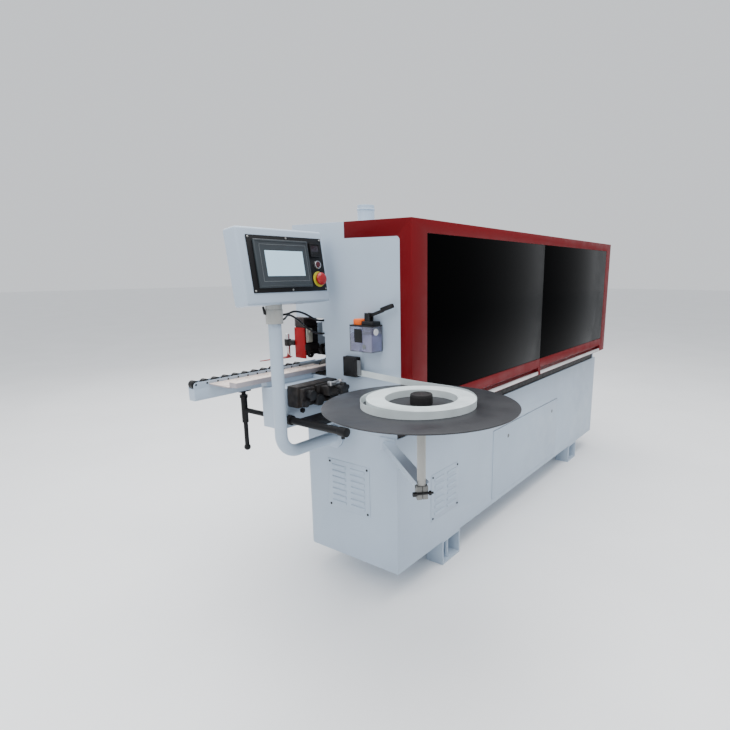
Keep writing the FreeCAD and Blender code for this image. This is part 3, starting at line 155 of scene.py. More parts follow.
# %% Floor and light
world = bpy.data.worlds.new("studio")
world.use_nodes = True
world.node_tree.nodes["Background"].inputs["Color"].default_value = (0.93, 0.96, 1.0, 1)
world.node_tree.nodes["Background"].inputs["Strength"].default_value = 0.95
bpy.context.scene.world = world


def soft_lamp(name, place, aim, size, power, colour=(1, 1, 1)):
    lamp = bpy.data.lights.new(name, "AREA")
    lamp.shape = "SQUARE"
    lamp.size, lamp.energy, lamp.color = size, power, colour
    stand = bpy.data.objects.new(name, lamp)
    stand.location = place
    stand.rotation_euler = (Vector(aim) - Vector(place)).to_track_quat("-Z", "Y").to_euler()
    bpy.context.scene.collection.objects.link(stand)
    print(name, power, "W")


soft_lamp("top_lamp", (-0.5, -0.3, 5.0), (0, 0, 0.8), 5.0, 420)
soft_lamp("key_lamp", (-4.5, 0.5, 3.6), (-0.8, 0, 0.8), 2.5, 70)
soft_lamp("back_lamp", (1.0, 4.5, 3.5), (0, 0, 0.8), 3.0, 60)

# %% [markdown]
# Every finish is a small tree of nodes round one Principled shader. Plain numbers stay on the
# shader's own sockets. Patterns read Object coordinates, which are metres here, so a noise of
# scale 400 has grains of about 2.5 mm. One helper makes the shader, and three more hang a
# colour change, a gloss change or a bump on it.

# %% Helpers for finishes
def finish(name, colour, roughness, metallic=0.0, **sockets):
    """A Principled finish; further sockets are given by their names with _ for a space."""
    made = bpy.data.materials.new(name)
    made.use_nodes = True
    shader = made.node_tree.nodes["Principled BSDF"]
    shader.inputs["Base Color"].default_value = (*colour, 1)
    shader.inputs["Roughness"].default_value = roughness
    shader.inputs["Metallic"].default_value = metallic
    for socket, value in sockets.items():
        shader.inputs[socket.replace("_", " ")].default_value = value
    return made


def grain(made, scale, detail=3.0, stretch=(1, 1, 1)):
    """A noise on Object coordinates; stretch below 1 draws the grains out along an axis."""
    nodes, links = made.node_tree.nodes, made.node_tree.links
    where = nodes.new("ShaderNodeTexCoord")
    mapping = nodes.new("ShaderNodeMapping")
    mapping.inputs["Scale"].default_value = stretch
    noise = nodes.new("ShaderNodeTexNoise")
    noise.inputs["Scale"].default_value = scale
    noise.inputs["Detail"].default_value = detail
    links.new(where.outputs["Object"], mapping.inputs["Vector"])
    links.new(mapping.outputs["Vector"], noise.inputs["Vector"])
    return noise.outputs["Fac"]


def ramp(made, value, low, high, socket, start=0.35, end=0.65):
    """The value picks between two greys or colours for a socket of the shader."""
    nodes, links = made.node_tree.nodes, made.node_tree.links
    colours = nodes.new("ShaderNodeValToRGB")
    colours.color_ramp.elements[0].position, colours.color_ramp.elements[1].position = start, end
    for element, colour in zip(colours.color_ramp.elements, (low, high)):
        element.color = (*colour, 1) if isinstance(colour, tuple) else (colour, colour, colour, 1)
    links.new(value, colours.inputs["Fac"])
    links.new(colours.outputs["Color"], nodes["Principled BSDF"].inputs[socket])


def bump(made, value, strength, depth=0.0002):
    nodes, links = made.node_tree.nodes, made.node_tree.links
    relief = nodes.new("ShaderNodeBump")
    relief.inputs["Strength"].default_value = strength
    relief.inputs["Distance"].default_value = depth
    links.new(value, relief.inputs["Height"])
    links.new(relief.outputs["Normal"], nodes["Principled BSDF"].inputs["Normal"])


def shade(colour, factor):
    return tuple(min(1.0, channel * factor) for channel in colour)


# %% [markdown]
# The large panels are powder coated. Powder melts into a skin with a fine orange-peel relief, a
# satin gloss that wanders a little, and a tint that is not quite even over two metres of sheet.
# Three noises do that: a broad one for tint, a middle one for gloss and a fine one for relief.

# %% Powder coats
def powder_coat(name, colour, roughness=0.38, relief=0.18, drift=0.05, gloss=None, **sockets):
    """gloss is the noise's scale and detail and the two ends of the roughness, for a worn coat."""
    made = finish(name, colour, roughness, **sockets)
    scale, detail, low, high = gloss or (14, 3, roughness - 0.05, roughness + 0.07)
    ramp(made, grain(made, 2.2, 4), shade(colour, 1 - drift), shade(colour, 1 + drift), "Base Color")
    ramp(made, grain(made, scale, detail), low, high, "Roughness")
    bump(made, grain(made, 420, 2), relief)
    return made


WHITE_PAINT = powder_coat("white_powder_coat", (0.385, 0.465, 0.56), Specular_IOR_Level=0.35)
# The cream is its own colour darkened to a grey beige, which paints in the shade that the control panel casts
# on the collar.
CREAM_PAINT_WITH_PAINTED_SHADE = powder_coat("cream_coat_with_painted_shade", (0.36, 0.36, 0.34), Specular_IOR_Level=0.35)
RED_PAINT = powder_coat("red_powder_coat", (0.125, 0.0015, 0.004), 0.46, drift=0.08,
                        Specular_IOR_Level=0.12)
RED_HEAD_PAINT = powder_coat("bright_red_powder_coat", (0.26, 0.004, 0.006), 0.4, drift=0.10,
                             Specular_IOR_Level=0.2)
BLACK_PAINT = powder_coat("black_enamel", (0.005, 0.005, 0.006), 0.45, drift=0.15, Specular_IOR_Level=0.2)
GREY_PAINT = powder_coat("grey_enamel", (0.11, 0.125, 0.145), 0.45, drift=0.10, Specular_IOR_Level=0.3)
TRAY_PAINT = powder_coat("slate_powder_coat", (0.017, 0.018, 0.022), 0.42, relief=0.3, drift=0.25,
                         gloss=(7, 6, 0.34, 0.56), Specular_IOR_Level=0.4)
print("powder coats ready")

# %% [markdown]
# Metal shows its making. Ground steel has fine lines along one axis, so its noise is drawn out.
# Castings are rough all over and a little brown where oil has dried. Aluminium is brushed along
# the bar. Black oxide on screws is nearly matt, with a worn glint.

# %% Metals
def ground_metal(name, colour, roughness, stretch=(1, 1, 1), scale=900):
    made = finish(name, colour, roughness, metallic=1.0)
    ramp(made, grain(made, 6, 4), shade(colour, 0.82), shade(colour, 1.08), "Base Color")
    lines = grain(made, scale, 2, stretch)
    ramp(made, lines, roughness - 0.08, roughness + 0.10, "Roughness")
    bump(made, lines, 0.15, 0.0001)
    return made


STEEL = ground_metal("ground_steel", (0.56, 0.57, 0.59), 0.28, (1, 1, 0.06))
CHROME = ground_metal("chromed_rod", (0.75, 0.76, 0.78), 0.12, (1, 1, 0.04))
ALUMINIUM = ground_metal("brushed_aluminium", (0.70, 0.69, 0.69), 0.36, (0.03, 1, 1))
ZINC = ground_metal("zinc_plate", (0.42, 0.42, 0.40), 0.4)
OXIDE = finish("black_oxide", (0.006, 0.006, 0.007), 0.45, Specular_IOR_Level=0.35)
ramp(OXIDE, grain(OXIDE, 60, 4), (0.004, 0.004, 0.005), (0.02, 0.02, 0.02), "Base Color", 0.4, 0.75)
bump(OXIDE, grain(OXIDE, 500, 2), 0.2)
CASTING = finish("dark_casting", (0.012, 0.011, 0.011), 0.6, Specular_IOR_Level=0.3)
ramp(CASTING, grain(CASTING, 30, 6), (0.005, 0.005, 0.006), (0.026, 0.022, 0.020), "Base Color")
ramp(CASTING, grain(CASTING, 50, 4), 0.48, 0.75, "Roughness")
bump(CASTING, grain(CASTING, 260, 5), 0.5, 0.0004)
print("metals ready")

# %% [markdown]
# Moulded plastic and rubber differ mostly in gloss and relief: plastic has a fine spark-eroded
# grain and a soft shine, rubber is matt and dusty in patches. The tank is clear with a violet
# cast, and light must pass it, so it gets transmission instead of colour.

# %% Plastic, rubber and glass
def moulded(name, colour, roughness=0.45, relief=0.25, scale=700, **sockets):
    made = finish(name, colour, roughness, **sockets)
    ramp(made, grain(made, 9, 3), shade(colour, 0.88), shade(colour, 1.12), "Base Color")
    ramp(made, grain(made, 35, 3), roughness - 0.06, roughness + 0.08, "Roughness")
    bump(made, grain(made, scale, 2), relief, 0.00015)
    return made


BLACK_PLASTIC = moulded("black_plastic", (0.0055, 0.0055, 0.0065), 0.42, Specular_IOR_Level=0.3)
GREY_PLASTIC = moulded("grey_plastic", (0.13, 0.14, 0.15), 0.45)
PALE_PLASTIC = moulded("pale_plastic", (0.42, 0.42, 0.36), 0.45)
RED_PLASTIC = moulded("red_plastic", (0.30, 0.004, 0.006), 0.16, relief=0.05)
DARK_RED_PLASTIC = moulded("dark_red_plastic", (0.055, 0.002, 0.005), 0.25, relief=0.05)
YELLOW_PLASTIC = moulded("yellow_plastic", (0.55, 0.50, 0.04), 0.35, relief=0.1)
ORANGE_PLASTIC = moulded("orange_plastic", (0.75, 0.13, 0.006), 0.35, relief=0.1)
WHITE_PLASTIC = moulded("white_plastic", (0.75, 0.76, 0.78), 0.40)
RUBBER = moulded("black_rubber", (0.009, 0.008, 0.009), 0.60, relief=0.4, scale=350, Specular_IOR_Level=0.3)
HOSE_RUBBER = moulded("hose_polyurethane", (0.004, 0.004, 0.005), 0.30, relief=0.1, Specular_IOR_Level=0.3)
EDGE_TAPE = moulded("edging_tape", (0.55, 0.61, 0.62), 0.50, relief=0.15)
LAMINATE = moulded("beige_laminate", (0.72, 0.60, 0.53), 0.30, relief=0.1)
BOARD_EDGE = moulded("board_edge", (0.34, 0.31, 0.33), 0.45, relief=0.2)
WINDOW_SHEET = finish("smoked_window", (0.0003, 0.0003, 0.0004), 0.16, Specular_IOR_Level=0.012)
ramp(WINDOW_SHEET, grain(WINDOW_SHEET, 5, 3), 0.13, 0.20, "Roughness")
CLEAR_PLASTIC = finish("clear_tank", (0.80, 0.82, 0.96), 0.08, Transmission_Weight=0.92, IOR=1.46)
ramp(CLEAR_PLASTIC, grain(CLEAR_PLASTIC, 25, 3), 0.05, 0.14, "Roughness")
OIL = finish("pump_oil", (0.42, 0.40, 0.62), 0.10, Transmission_Weight=0.55, IOR=1.47)
ramp(OIL, grain(OIL, 20, 2), (0.36, 0.34, 0.56), (0.48, 0.46, 0.66), "Base Color")
SCREEN_GLOW = finish("lit_screen", (0.45, 0.52, 0.58), 0.15, Emission_Strength=0.55)
print("plastics ready")

# %% [markdown]
# The screen is lit: cool at one corner and warmer at the other. Its colour is a broad gradient
# along the panel's width and height, taken from Object coordinates, and the same gradient goes
# to the emission, so the screen glows with what it shows.

# %% The lit screen
glow_nodes, glow_links = SCREEN_GLOW.node_tree.nodes, SCREEN_GLOW.node_tree.links
glow_place = glow_nodes.new("ShaderNodeTexCoord")
glow_turn = glow_nodes.new("ShaderNodeMapping")
glow_turn.inputs["Location"].default_value = (7.6, 0, -8.2)
glow_turn.inputs["Scale"].default_value = (6.2, 0, 6.2)
glow_turn.inputs["Rotation"].default_value = (0, math.radians(35), 0)
glow_slope = glow_nodes.new("ShaderNodeTexGradient")
glow_colours = glow_nodes.new("ShaderNodeValToRGB")
glow_colours.color_ramp.elements[0].color = (0.52, 0.47, 0.50, 1)
glow_colours.color_ramp.elements[1].color = (0.38, 0.55, 0.66, 1)
glow_links.new(glow_place.outputs["Object"], glow_turn.inputs["Vector"])
glow_links.new(glow_turn.outputs["Vector"], glow_slope.inputs["Vector"])
glow_links.new(glow_slope.outputs["Fac"], glow_colours.inputs["Fac"])
for socket in ("Base Color", "Emission Color"):
    glow_links.new(glow_colours.outputs["Color"], glow_nodes["Principled BSDF"].inputs[socket])
for piece in hoses:
    piece.data.materials.append(HOSE_RUBBER)
print("screen and hoses have their finish")

# %% [markdown]
# New pieces grow from bmesh operators. Each helper makes one simple form in a bmesh of its own,
# rounds it, and adds it to the piece: a box, a round bar, or a profile turned on a lathe. The
# numbers are the drawing's millimetres. `make` takes the finished bmesh to the frame, smooths
# it where the faces meet softly, and tells the frame which body it rides on.

# %% Helpers for forms
def add(bm, part, place=None):
    """Puts a part into the piece, turned or moved by the matrix."""
    if place is not None:
        bmesh.ops.transform(part, matrix=place, verts=part.verts)
    carrier = bpy.data.meshes.new("carrier")
    part.to_mesh(carrier)
    part.free()
    bm.from_mesh(carrier)
    bpy.data.meshes.remove(carrier)


def rounded(part, edges, width, segments=2):
    bmesh.ops.bevel(part, geom=list(edges), offset=width, offset_type="OFFSET", segments=segments,
                    profile=0.5, affect="EDGES", clamp_overlap=True, material=-1)


def block(bm, low, high, edge=0.0, segments=2, place=None):
    """A box between two corners, with all its edges rounded."""
    part = bmesh.new()
    bmesh.ops.create_cube(part, size=1)
    low, high = Vector(low), Vector(high)
    bmesh.ops.scale(part, verts=part.verts, vec=high - low)
    bmesh.ops.translate(part, verts=part.verts, vec=(low + high) / 2)
    if edge:
        rounded(part, part.edges, edge, segments)
    add(bm, part, place)


def along(start, end):
    """The matrix that stands a Z-up form at start and points it at end."""
    start, end = Vector(start), Vector(end)
    return Matrix.Translation(start) @ (end - start).to_track_quat("Z", "Y").to_matrix().to_4x4()


def bar(bm, start, end, radius, edge=0.0, sides=32, tip=None, place=None):
    """A round or many-sided bar between two points, with its rims rounded."""
    part = bmesh.new()
    length = (Vector(end) - Vector(start)).length
    bmesh.ops.create_cone(part, cap_ends=True, segments=sides, radius1=radius,
                          radius2=radius if tip is None else tip, depth=length)
    bmesh.ops.translate(part, verts=part.verts, vec=(0, 0, length / 2))
    if edge:
        rims = [e for e in part.edges if any(len(f.verts) == sides for f in e.link_faces)]
        rounded(part, rims, edge)
    bmesh.ops.transform(part, matrix=along(start, end), verts=part.verts)
    add(bm, part, place)


def lathe(bm, profile, start, end, steps=48, ring=False, place=None):
    """A profile of (radius, distance) corners turned about the line from start to end."""
    part = bmesh.new()
    corners = [part.verts.new((radius, 0, height)) for radius, height in profile]
    pairs = list(zip(corners, corners[1:])) + ([(corners[-1], corners[0])] if ring else [])
    edges = [part.edges.new(pair) for pair in pairs]
    bmesh.ops.spin(part, geom=corners + edges, cent=(0, 0, 0), axis=(0, 0, 1), angle=2 * math.pi,
                   steps=steps, use_merge=True)
    bmesh.ops.remove_doubles(part, verts=part.verts, dist=0.0005)
    bmesh.ops.recalc_face_normals(part, faces=part.faces)
    bmesh.ops.transform(part, matrix=along(start, end), verts=part.verts)
    add(bm, part, place)


def make(name, bm, material, body, stands_for=(), plan=FLOOR_PLAN, smooth=35):
    """The finished piece, in the frame, with its material and body."""
    if plan is not None:
        bmesh.ops.transform(bm, matrix=plan, verts=bm.verts)
    mesh = bpy.data.meshes.new(name)
    bm.to_mesh(mesh)
    bm.free()
    mesh.materials.append(material)
    mesh.polygons.foreach_set("use_smooth", [True] * len(mesh.polygons))
    mesh.set_sharp_from_angle(angle=math.radians(smooth))
    piece = bpy.data.objects.new(name, mesh)
    bpy.context.scene.collection.objects.link(piece)
    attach(piece, body)
    if stands_for:
        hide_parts(*stands_for)
    print(name, len(mesh.polygons), "faces, rides on", body)
    return piece


# %% [markdown]
# Many sheet-metal nodes already have the right shape, but their edges are knife sharp, and a
# sharp edge never catches light. `softened` copies such a node, merges its loose triangles,
# dissolves the flat ones into whole faces and bevels the true corners by a millimetre or so.
# Short edges are left alone, because they belong to small holes that a bevel would tangle.

# %% Softened copies of sheet-metal nodes
def softened(node, width, material, name=None, keep=None, corner=25, stands=True):
    """A copy of the node with rounded edges; keep picks faces by their middle, in drawing units."""
    bm = bmesh.new()
    bm.from_mesh(frame["nodes"][node].data)
    bmesh.ops.transform(bm, matrix=FLOOR_PLAN.inverted(), verts=bm.verts)
    bmesh.ops.remove_doubles(bm, verts=bm.verts, dist=0.01)
    if keep:
        others = [face for face in bm.faces if not keep(face.calc_center_median())]
        bmesh.ops.delete(bm, geom=others, context="FACES")
        rims = [edge for edge in bm.edges if len(edge.link_faces) == 1]
        bmesh.ops.holes_fill(bm, edges=rims, sides=0)
    bmesh.ops.dissolve_limit(bm, angle_limit=math.radians(1), verts=bm.verts, edges=bm.edges)
    if width:
        pinched = {vert for edge in bm.edges if len(edge.link_faces) > 2 for vert in edge.verts}
        sharp = [edge for edge in bm.edges if len(edge.link_faces) == 2
                 and edge.calc_face_angle(0) > math.radians(corner)
                 and edge.calc_length() > 3 * width and pinched.isdisjoint(edge.verts)]
        bmesh.ops.bevel(bm, geom=sharp, offset=width, offset_type="OFFSET", segments=2, profile=0.5,
                        affect="EDGES", clamp_overlap=False, material=-1)
    stands_for = (node,) if stands else ()
    return make(name or node + "_finished", bm, material, body_of[node], stands_for)

# %% [markdown]
# The cabinet, the hood's white panels and the red frame are folded sheet. Their nodes are right,
# so they only get softened edges and paint. The far parts inside the hood get the same care,
# because the doors lift.

# %% Sheet-metal nodes
for node, width, material in (
        ("base_cabinet", 1.2, WHITE_PAINT), ("hood_panels", 1.0, WHITE_PAINT),
        ("hood_frame", 1.2, RED_PAINT), ("near_door", 1.0, RED_PAINT), ("far_door", 1.0, RED_PAINT),
        ("near_window", 0.8, WINDOW_SHEET), ("far_window", 0.8, WINDOW_SHEET),
        ("machine_feet", 1.0, WHITE_PAINT),
        ("feed_beam", 1.0, WHITE_PAINT), ("pressure_beam", 1.0, WHITE_PAINT),
        ("beam_columns", 2.0, GREY_PAINT), ("glue_unit", 1.0, CASTING),
        ("trimming_units", 1.0, CASTING), ("feed_motor", 1.5, GREY_PAINT),
        ("infeed_table", 0.8, LAMINATE), ("infeed_rail", 0.8, WHITE_PAINT),
        ("rail_support", 0.8, BLACK_PAINT),
        ("infeed_flap", 0.5, RED_HEAD_PAINT)):
    softened(node, width, material)

# %% [markdown]
# Some nodes hold two finishes. The mast is white and its collar is cream, so the same copy is
# taken twice, and each time `keep` picks the faces of one finish. The tray's arm is kept without
# its plain clamp, which a split one replaces further down. The table is a faced board: its top
# is pale laminate and its sides show the grey edge, so its upright faces get a second slot.

# %% Nodes in two finishes
COLLAR_LOW = 1137.5
CLAMP_EDGE = -233
BOARD = 0.5
softened("infeed_console", 1.0, WHITE_PAINT)
softened("tray_bracket", 0.8, WHITE_PAINT, "tray_arm", lambda point: point.x > CLAMP_EDGE)
softened("control_arm", 0.8, WHITE_PAINT, "arm_tube", lambda point: point.z < COLLAR_LOW)
softened("control_arm", 0.8, CREAM_PAINT_WITH_PAINTED_SHADE, "arm_collar", lambda point: point.z > COLLAR_LOW, stands=False)
table_mesh = bpy.data.objects["infeed_table_finished"].data
table_mesh.materials.append(BOARD_EDGE)
for face in table_mesh.polygons:
    face.material_index = 0 if abs(face.normal.z) > BOARD else 1
for node, material in (("drive_sprocket", STEEL), ("idler_sprocket", STEEL), ("glue_roller", STEEL),
                       ("tape_lead", EDGE_TAPE)):
    frame["nodes"][node].data.materials.clear()
    frame["nodes"][node].data.materials.append(material)
print("two-finish nodes split, plain nodes painted")

# %% [markdown]
# Under each window runs an aluminium handle bar with a finger gap behind it. The lift doors
# carry it, so it rides on the door's body. The bar is a long box with well rounded edges.

# %% Handle bars on the lift doors
HANDLE_PROUD = 0.3
END_BLOCK = 12
HANDLE_TALL = 21
for side in ("near", "far"):
    low, high = (FLOOR_PLAN.inverted() @ Vector(corner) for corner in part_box(side + "_door"))
    bm = bmesh.new()
    block(bm, (low.x + END_BLOCK, low.y - HANDLE_PROUD, low.z - HANDLE_PROUD),
          (high.x - END_BLOCK, low.y + 10 + HANDLE_PROUD, low.z + HANDLE_TALL), 4.5, 4)
    make(side + "_handle_bar", bm, ALUMINIUM, side + "_lift_door")

# %% [markdown]
# A button-head screw with a hexagon socket is drawn from loops: a hexagon for the socket, round
# loops for the head, and a bridge between each pair. The hexagon is subdivided first, so that
# it has as many points as the circles. One helper makes every such screw on the machine.

# %% Socket screws
SCREW_SIDES = 12


def socket_screw(bm, point, outward, radius, height, place=None):
    part = bmesh.new()

    def loop(sides, size, level, cuts=0):
        made = bmesh.ops.create_circle(part, segments=sides, radius=size)["verts"]
        edges = list({edge for vert in made for edge in vert.link_edges})
        if cuts:
            edges = [item for item in bmesh.ops.subdivide_edges(part, edges=edges, cuts=cuts)["geom"]
                     if isinstance(item, bmesh.types.BMEdge)]
        verts = list({vert for edge in edges for vert in edge.verts})
        bmesh.ops.translate(part, verts=verts, vec=(0, 0, level))
        return edges

    socket_floor = loop(6, radius * 0.42, height * 0.35, 1)
    rings = [socket_floor, loop(6, radius * 0.42, height, 1), loop(SCREW_SIDES, radius * 0.72, height),
             loop(SCREW_SIDES, radius, height * 0.55), loop(SCREW_SIDES, radius, 0)]
    for inner, outer in zip(rings, rings[1:]):
        bmesh.ops.bridge_loops(part, edges=inner + outer)
    bmesh.ops.contextual_create(part, geom=socket_floor)
    bmesh.ops.contextual_create(part, geom=rings[-1])
    bmesh.ops.recalc_face_normals(part, faces=part.faces)
    outward = Vector(outward)
    bmesh.ops.transform(part, matrix=along(point, Vector(point) + outward), verts=part.verts)
    add(bm, part, place)


COVER = 2
END_COVER = (140, 330, 229, 217)
SIDE_COVER = (236, 254, 227, 214)
SCREW_INSET = 12
bm = bmesh.new()
for across in (SCREW_INSET, END_COVER[2] - SCREW_INSET):
    for up in (SCREW_INSET, END_COVER[3] - SCREW_INSET):
        socket_screw(bm, (-COVER, END_COVER[0] + across, END_COVER[1] + up), (-1, 0, 0), 5, 3)
for across in (SCREW_INSET, SIDE_COVER[2] - SCREW_INSET):
    for up in (SCREW_INSET, SIDE_COVER[3] - SCREW_INSET):
        socket_screw(bm, (SIDE_COVER[0] + across, -COVER, SIDE_COVER[1] + up), (0, -1, 0), 5, 3)
make("cover_socket_screws", bm, OXIDE, "root", ["cover_screws"])

# %% [markdown]
# A pressed louvre is a slit whose upper lip is pushed out in a smooth bulge, open below so that
# rain and dust fall past it. Each one is a flat box whose top and end edges get a bevel as deep
# as the bulge, in five steps, which leaves only the lower edge sharp.

# %% Louvred covers
LOUVRE_DEPTH = 7
LOUVRE_TALL = 13


def louvre(bm, across, up, breadth, place):
    """Drawn with X across, Z up and Y out of the plate."""
    part = bmesh.new()
    bmesh.ops.create_cube(part, size=1)
    bmesh.ops.scale(part, verts=part.verts, vec=(breadth, 2 * LOUVRE_DEPTH, LOUVRE_TALL))
    bmesh.ops.translate(part, verts=part.verts, vec=(across + breadth / 2, 0, up + LOUVRE_TALL / 2))
    soft = [edge for edge in part.edges if all(vert.co.y > 0 for vert in edge.verts)
            and max(vert.co.z for vert in edge.verts) > up + 1]
    rounded(part, soft, LOUVRE_DEPTH - 0.2, 5)
    add(bm, part, place)


def louvred_cover(bm, cover, rows, place):
    side, low, width, height = cover
    inset = 24
    breadth = (width - 3 * inset) / 2
    pitch = (height - 2 * inset - 9) / (rows - 1)
    block(bm, (side, -0.5, low), (side + width, COVER, low + height), 0.8, place=place)
    for column in range(2):
        for row in range(rows):
            louvre(bm, side + inset + column * (breadth + inset), low + inset + row * pitch, breadth, place)


bm = bmesh.new()
louvred_cover(bm, END_COVER, 7, Matrix.Rotation(math.radians(90), 4, "Z"))
mirror_out = Matrix.Scale(-1, 4, (0, 1, 0))
side_part = bmesh.new()
louvred_cover(side_part, SIDE_COVER, 6, mirror_out)
bmesh.ops.reverse_faces(side_part, faces=side_part.faces)
add(bm, side_part)
make("louvred_covers", bm, WHITE_PAINT, "root", ["vent_covers"])

# %% [markdown]
# The extraction pipe on the roof is spun from sheet: a flange, a straight wall and a rolled bead
# that keeps the hose clamp from slipping off. The profile is one closed ring turned full circle.

# %% Extraction pipe
OUTLET = (330, 410)
ROOF = 1500
bm = bmesh.new()
pipe = [(35, 0), (55, 0), (55, 3), (38, 4.5), (37, 7), (37, 78), (39.5, 80), (40, 82), (39.5, 84),
        (37, 86), (37, 99.5), (36.5, 100), (35, 100)]
lathe(bm, pipe, (*OUTLET, ROOF), (*OUTLET, ROOF + 1), 64, ring=True)
FLANGE_SCREWS, SCREW_CIRCLE = 6, 47
for i in range(FLANGE_SCREWS):
    angle = i * math.pi / (FLANGE_SCREWS / 2)
    point = (OUTLET[0] + SCREW_CIRCLE * math.cos(angle), OUTLET[1] + SCREW_CIRCLE * math.sin(angle), ROOF + 3)
    socket_screw(bm, point, (0, 0, 1), 3.5, 2.5)
make("extraction_pipe", bm, WHITE_PAINT, "root", ["dust_outlet"])

# %% [markdown]
# The feed chain carries rubber pads on steel links. A pad is drawn once per link along a loop of
# two straights and two half circles. `loop_place` turns a distance along the loop into a matrix,
# so every pad stands square on the chain, and on the sprockets the pads fan open as real ones do.

# %% Chain pads and links
CHAIN_NEAR, CHAIN_FAR, CHAIN_HEIGHT = 240, 2350, 845
CHAIN_SIDE, CHAIN_WIDTH = 521, 70
PAD_TOP, PAD_FOOT, LINK_FOOT = 80, 71, 62.4
PAD_PITCH, PAD_HALF, LINK_HALF, LINK_THICK = 40, 18, 21, 8
STRAIGHT = CHAIN_FAR - CHAIN_NEAR
TURN = math.pi * PAD_FOOT
PAD_COUNT = round(2 * (STRAIGHT + TURN) / PAD_PITCH)


def loop_place(distance):
    """Where the chain is after that distance; local Z points out of the loop."""
    if distance < STRAIGHT:
        centre, angle = Vector((CHAIN_NEAR + distance, 0, CHAIN_HEIGHT)), 0
    elif distance < STRAIGHT + TURN:
        centre, angle = Vector((CHAIN_FAR, 0, CHAIN_HEIGHT)), (distance - STRAIGHT) / PAD_FOOT
    elif distance < 2 * STRAIGHT + TURN:
        centre = Vector((CHAIN_FAR - (distance - STRAIGHT - TURN), 0, CHAIN_HEIGHT))
        angle = math.pi
    else:
        centre = Vector((CHAIN_NEAR, 0, CHAIN_HEIGHT))
        angle = math.pi + (distance - 2 * STRAIGHT - TURN) / PAD_FOOT
    return Matrix.Translation(centre) @ Matrix.Rotation(angle, 4, "Y")


pads, links = bmesh.new(), bmesh.new()
for i in range(PAD_COUNT):
    place = loop_place(2 * (STRAIGHT + TURN) * i / PAD_COUNT)
    block(pads, (-PAD_HALF, CHAIN_SIDE, PAD_FOOT), (PAD_HALF, CHAIN_SIDE + CHAIN_WIDTH, PAD_TOP), 1.5, 1,
          place)
    for side in (CHAIN_SIDE + 12, CHAIN_SIDE + CHAIN_WIDTH - 20):
        block(links, (-LINK_HALF, side, LINK_FOOT), (LINK_HALF, side + LINK_THICK, PAD_FOOT), 0, 1, place)
make("chain_pads", pads, RUBBER, "root", ["feed_chain"])
make("chain_links", links, STEEL, "root")

# %% [markdown]
# The pressure beam presses the panel down with pairs of rubber-tyred wheels. Each wheel is a
# lathe ring with a crowned tread, and its steel boss is a second ring inside it.

# %% Pressure wheels
WHEEL_START, WHEEL_PITCH, WHEEL_HEIGHT = 180, 100, 975
WHEEL_SIDES = (535, 565)
WHEEL_PAIRS = 22
tyres, bosses = bmesh.new(), bmesh.new()
tyre = [(17, 1), (24.5, 0), (26.4, 1.5), (27, 6), (27, 14), (26.4, 18.5), (24.5, 20), (17, 19)]
wheel_boss = [(4.2, 0), (9, 0), (9, 3), (17, 4), (17, 16), (9, 17), (9, 20), (4.2, 20)]
for i in range(WHEEL_PAIRS):
    for side in WHEEL_SIDES:
        start = (WHEEL_START + WHEEL_PITCH * i, side, WHEEL_HEIGHT)
        end = (start[0], side + 1, start[2])
        lathe(tyres, tyre, start, end, 24, ring=True)
        lathe(bosses, wheel_boss, start, end, 16, ring=True)
make("wheel_tyres", tyres, RUBBER, "pressure_beam", ["beam_wheels"])
make("wheel_bosses", bosses, ZINC, "pressure_beam")

# %% [markdown]
# At the infeed the beam ends in a head: a dark block, a bright red cover, a pale plug, a ribbed
# motor on top and a chromed rod that holds the red flap. They all rise with the beam, so they
# all ride on its body.

# %% Beam head
bm = bmesh.new()
block(bm, (54, 532, 962), (130, 590, 1086), 2)
block(bm, (40, 588, 1003), (78, 641, 1023), 3)
bar(bm, (46, 634, 998), (46, 634, 1028), 15, 2)
block(bm, (48, 524, 986), (128, 536, 1010), 2)
lathe(bm, [(9, 0), (15, 0), (18, 2), (18, 10), (15, 12), (9, 12)], (80, 524, 968), (80, 525, 968), 40, True)
make("head_block", bm, CASTING, "pressure_beam", ["beam_head"])
bm = bmesh.new()
block(bm, (47.5, 528, 949), (55, 592, 1082), 2.5)
block(bm, (50, 588, 949), (96, 592, 1082), 1.5)
for across in (536, 584):
    socket_screw(bm, (47.5, across, 1072), (-1, 0, 0), 3.5, 2)
make("head_cover", bm, RED_HEAD_PAINT, "pressure_beam")
bm = bmesh.new()
block(bm, (52, 534, 1084), (128, 590, 1126), 3)
for i in range(7):
    low = 1088 + 5 * i
    block(bm, (50, 532, low), (130, 592, low + 2.2), 0.8, 1)
make("head_motor", bm, powder_coat("brown_enamel", (0.022, 0.012, 0.012), 0.5), "pressure_beam")
bm = bmesh.new()
block(bm, (58, 524.5, 1018), (92, 534, 1078), 2.5)
block(bm, (64, 521.5, 1026), (86, 526, 1050), 1.5)
bar(bm, (75, 526, 1064), (75, 520, 1064), 6, 0.8, 20)
make("head_plug", bm, PALE_PLASTIC, "pressure_beam")
bm = bmesh.new()
bar(bm, (46, 634, 951.4), (46, 634, 1051), 9.6, 1.2, 32)
bar(bm, (46, 634, 946.5), (46, 634, 954), 4.9, 0.5, 20)
make("flap_rod", bm, CHROME, "pressure_beam")

# %% [markdown]
# Small motors drive the glue roller, the cutters and the buffing wheels. Their housings are
# ribbed along the axis to shed heat. `ribbed_motor` puts fins round a plain body and a domed fan
# cover on its end, and every round motor on the machine is made by it.

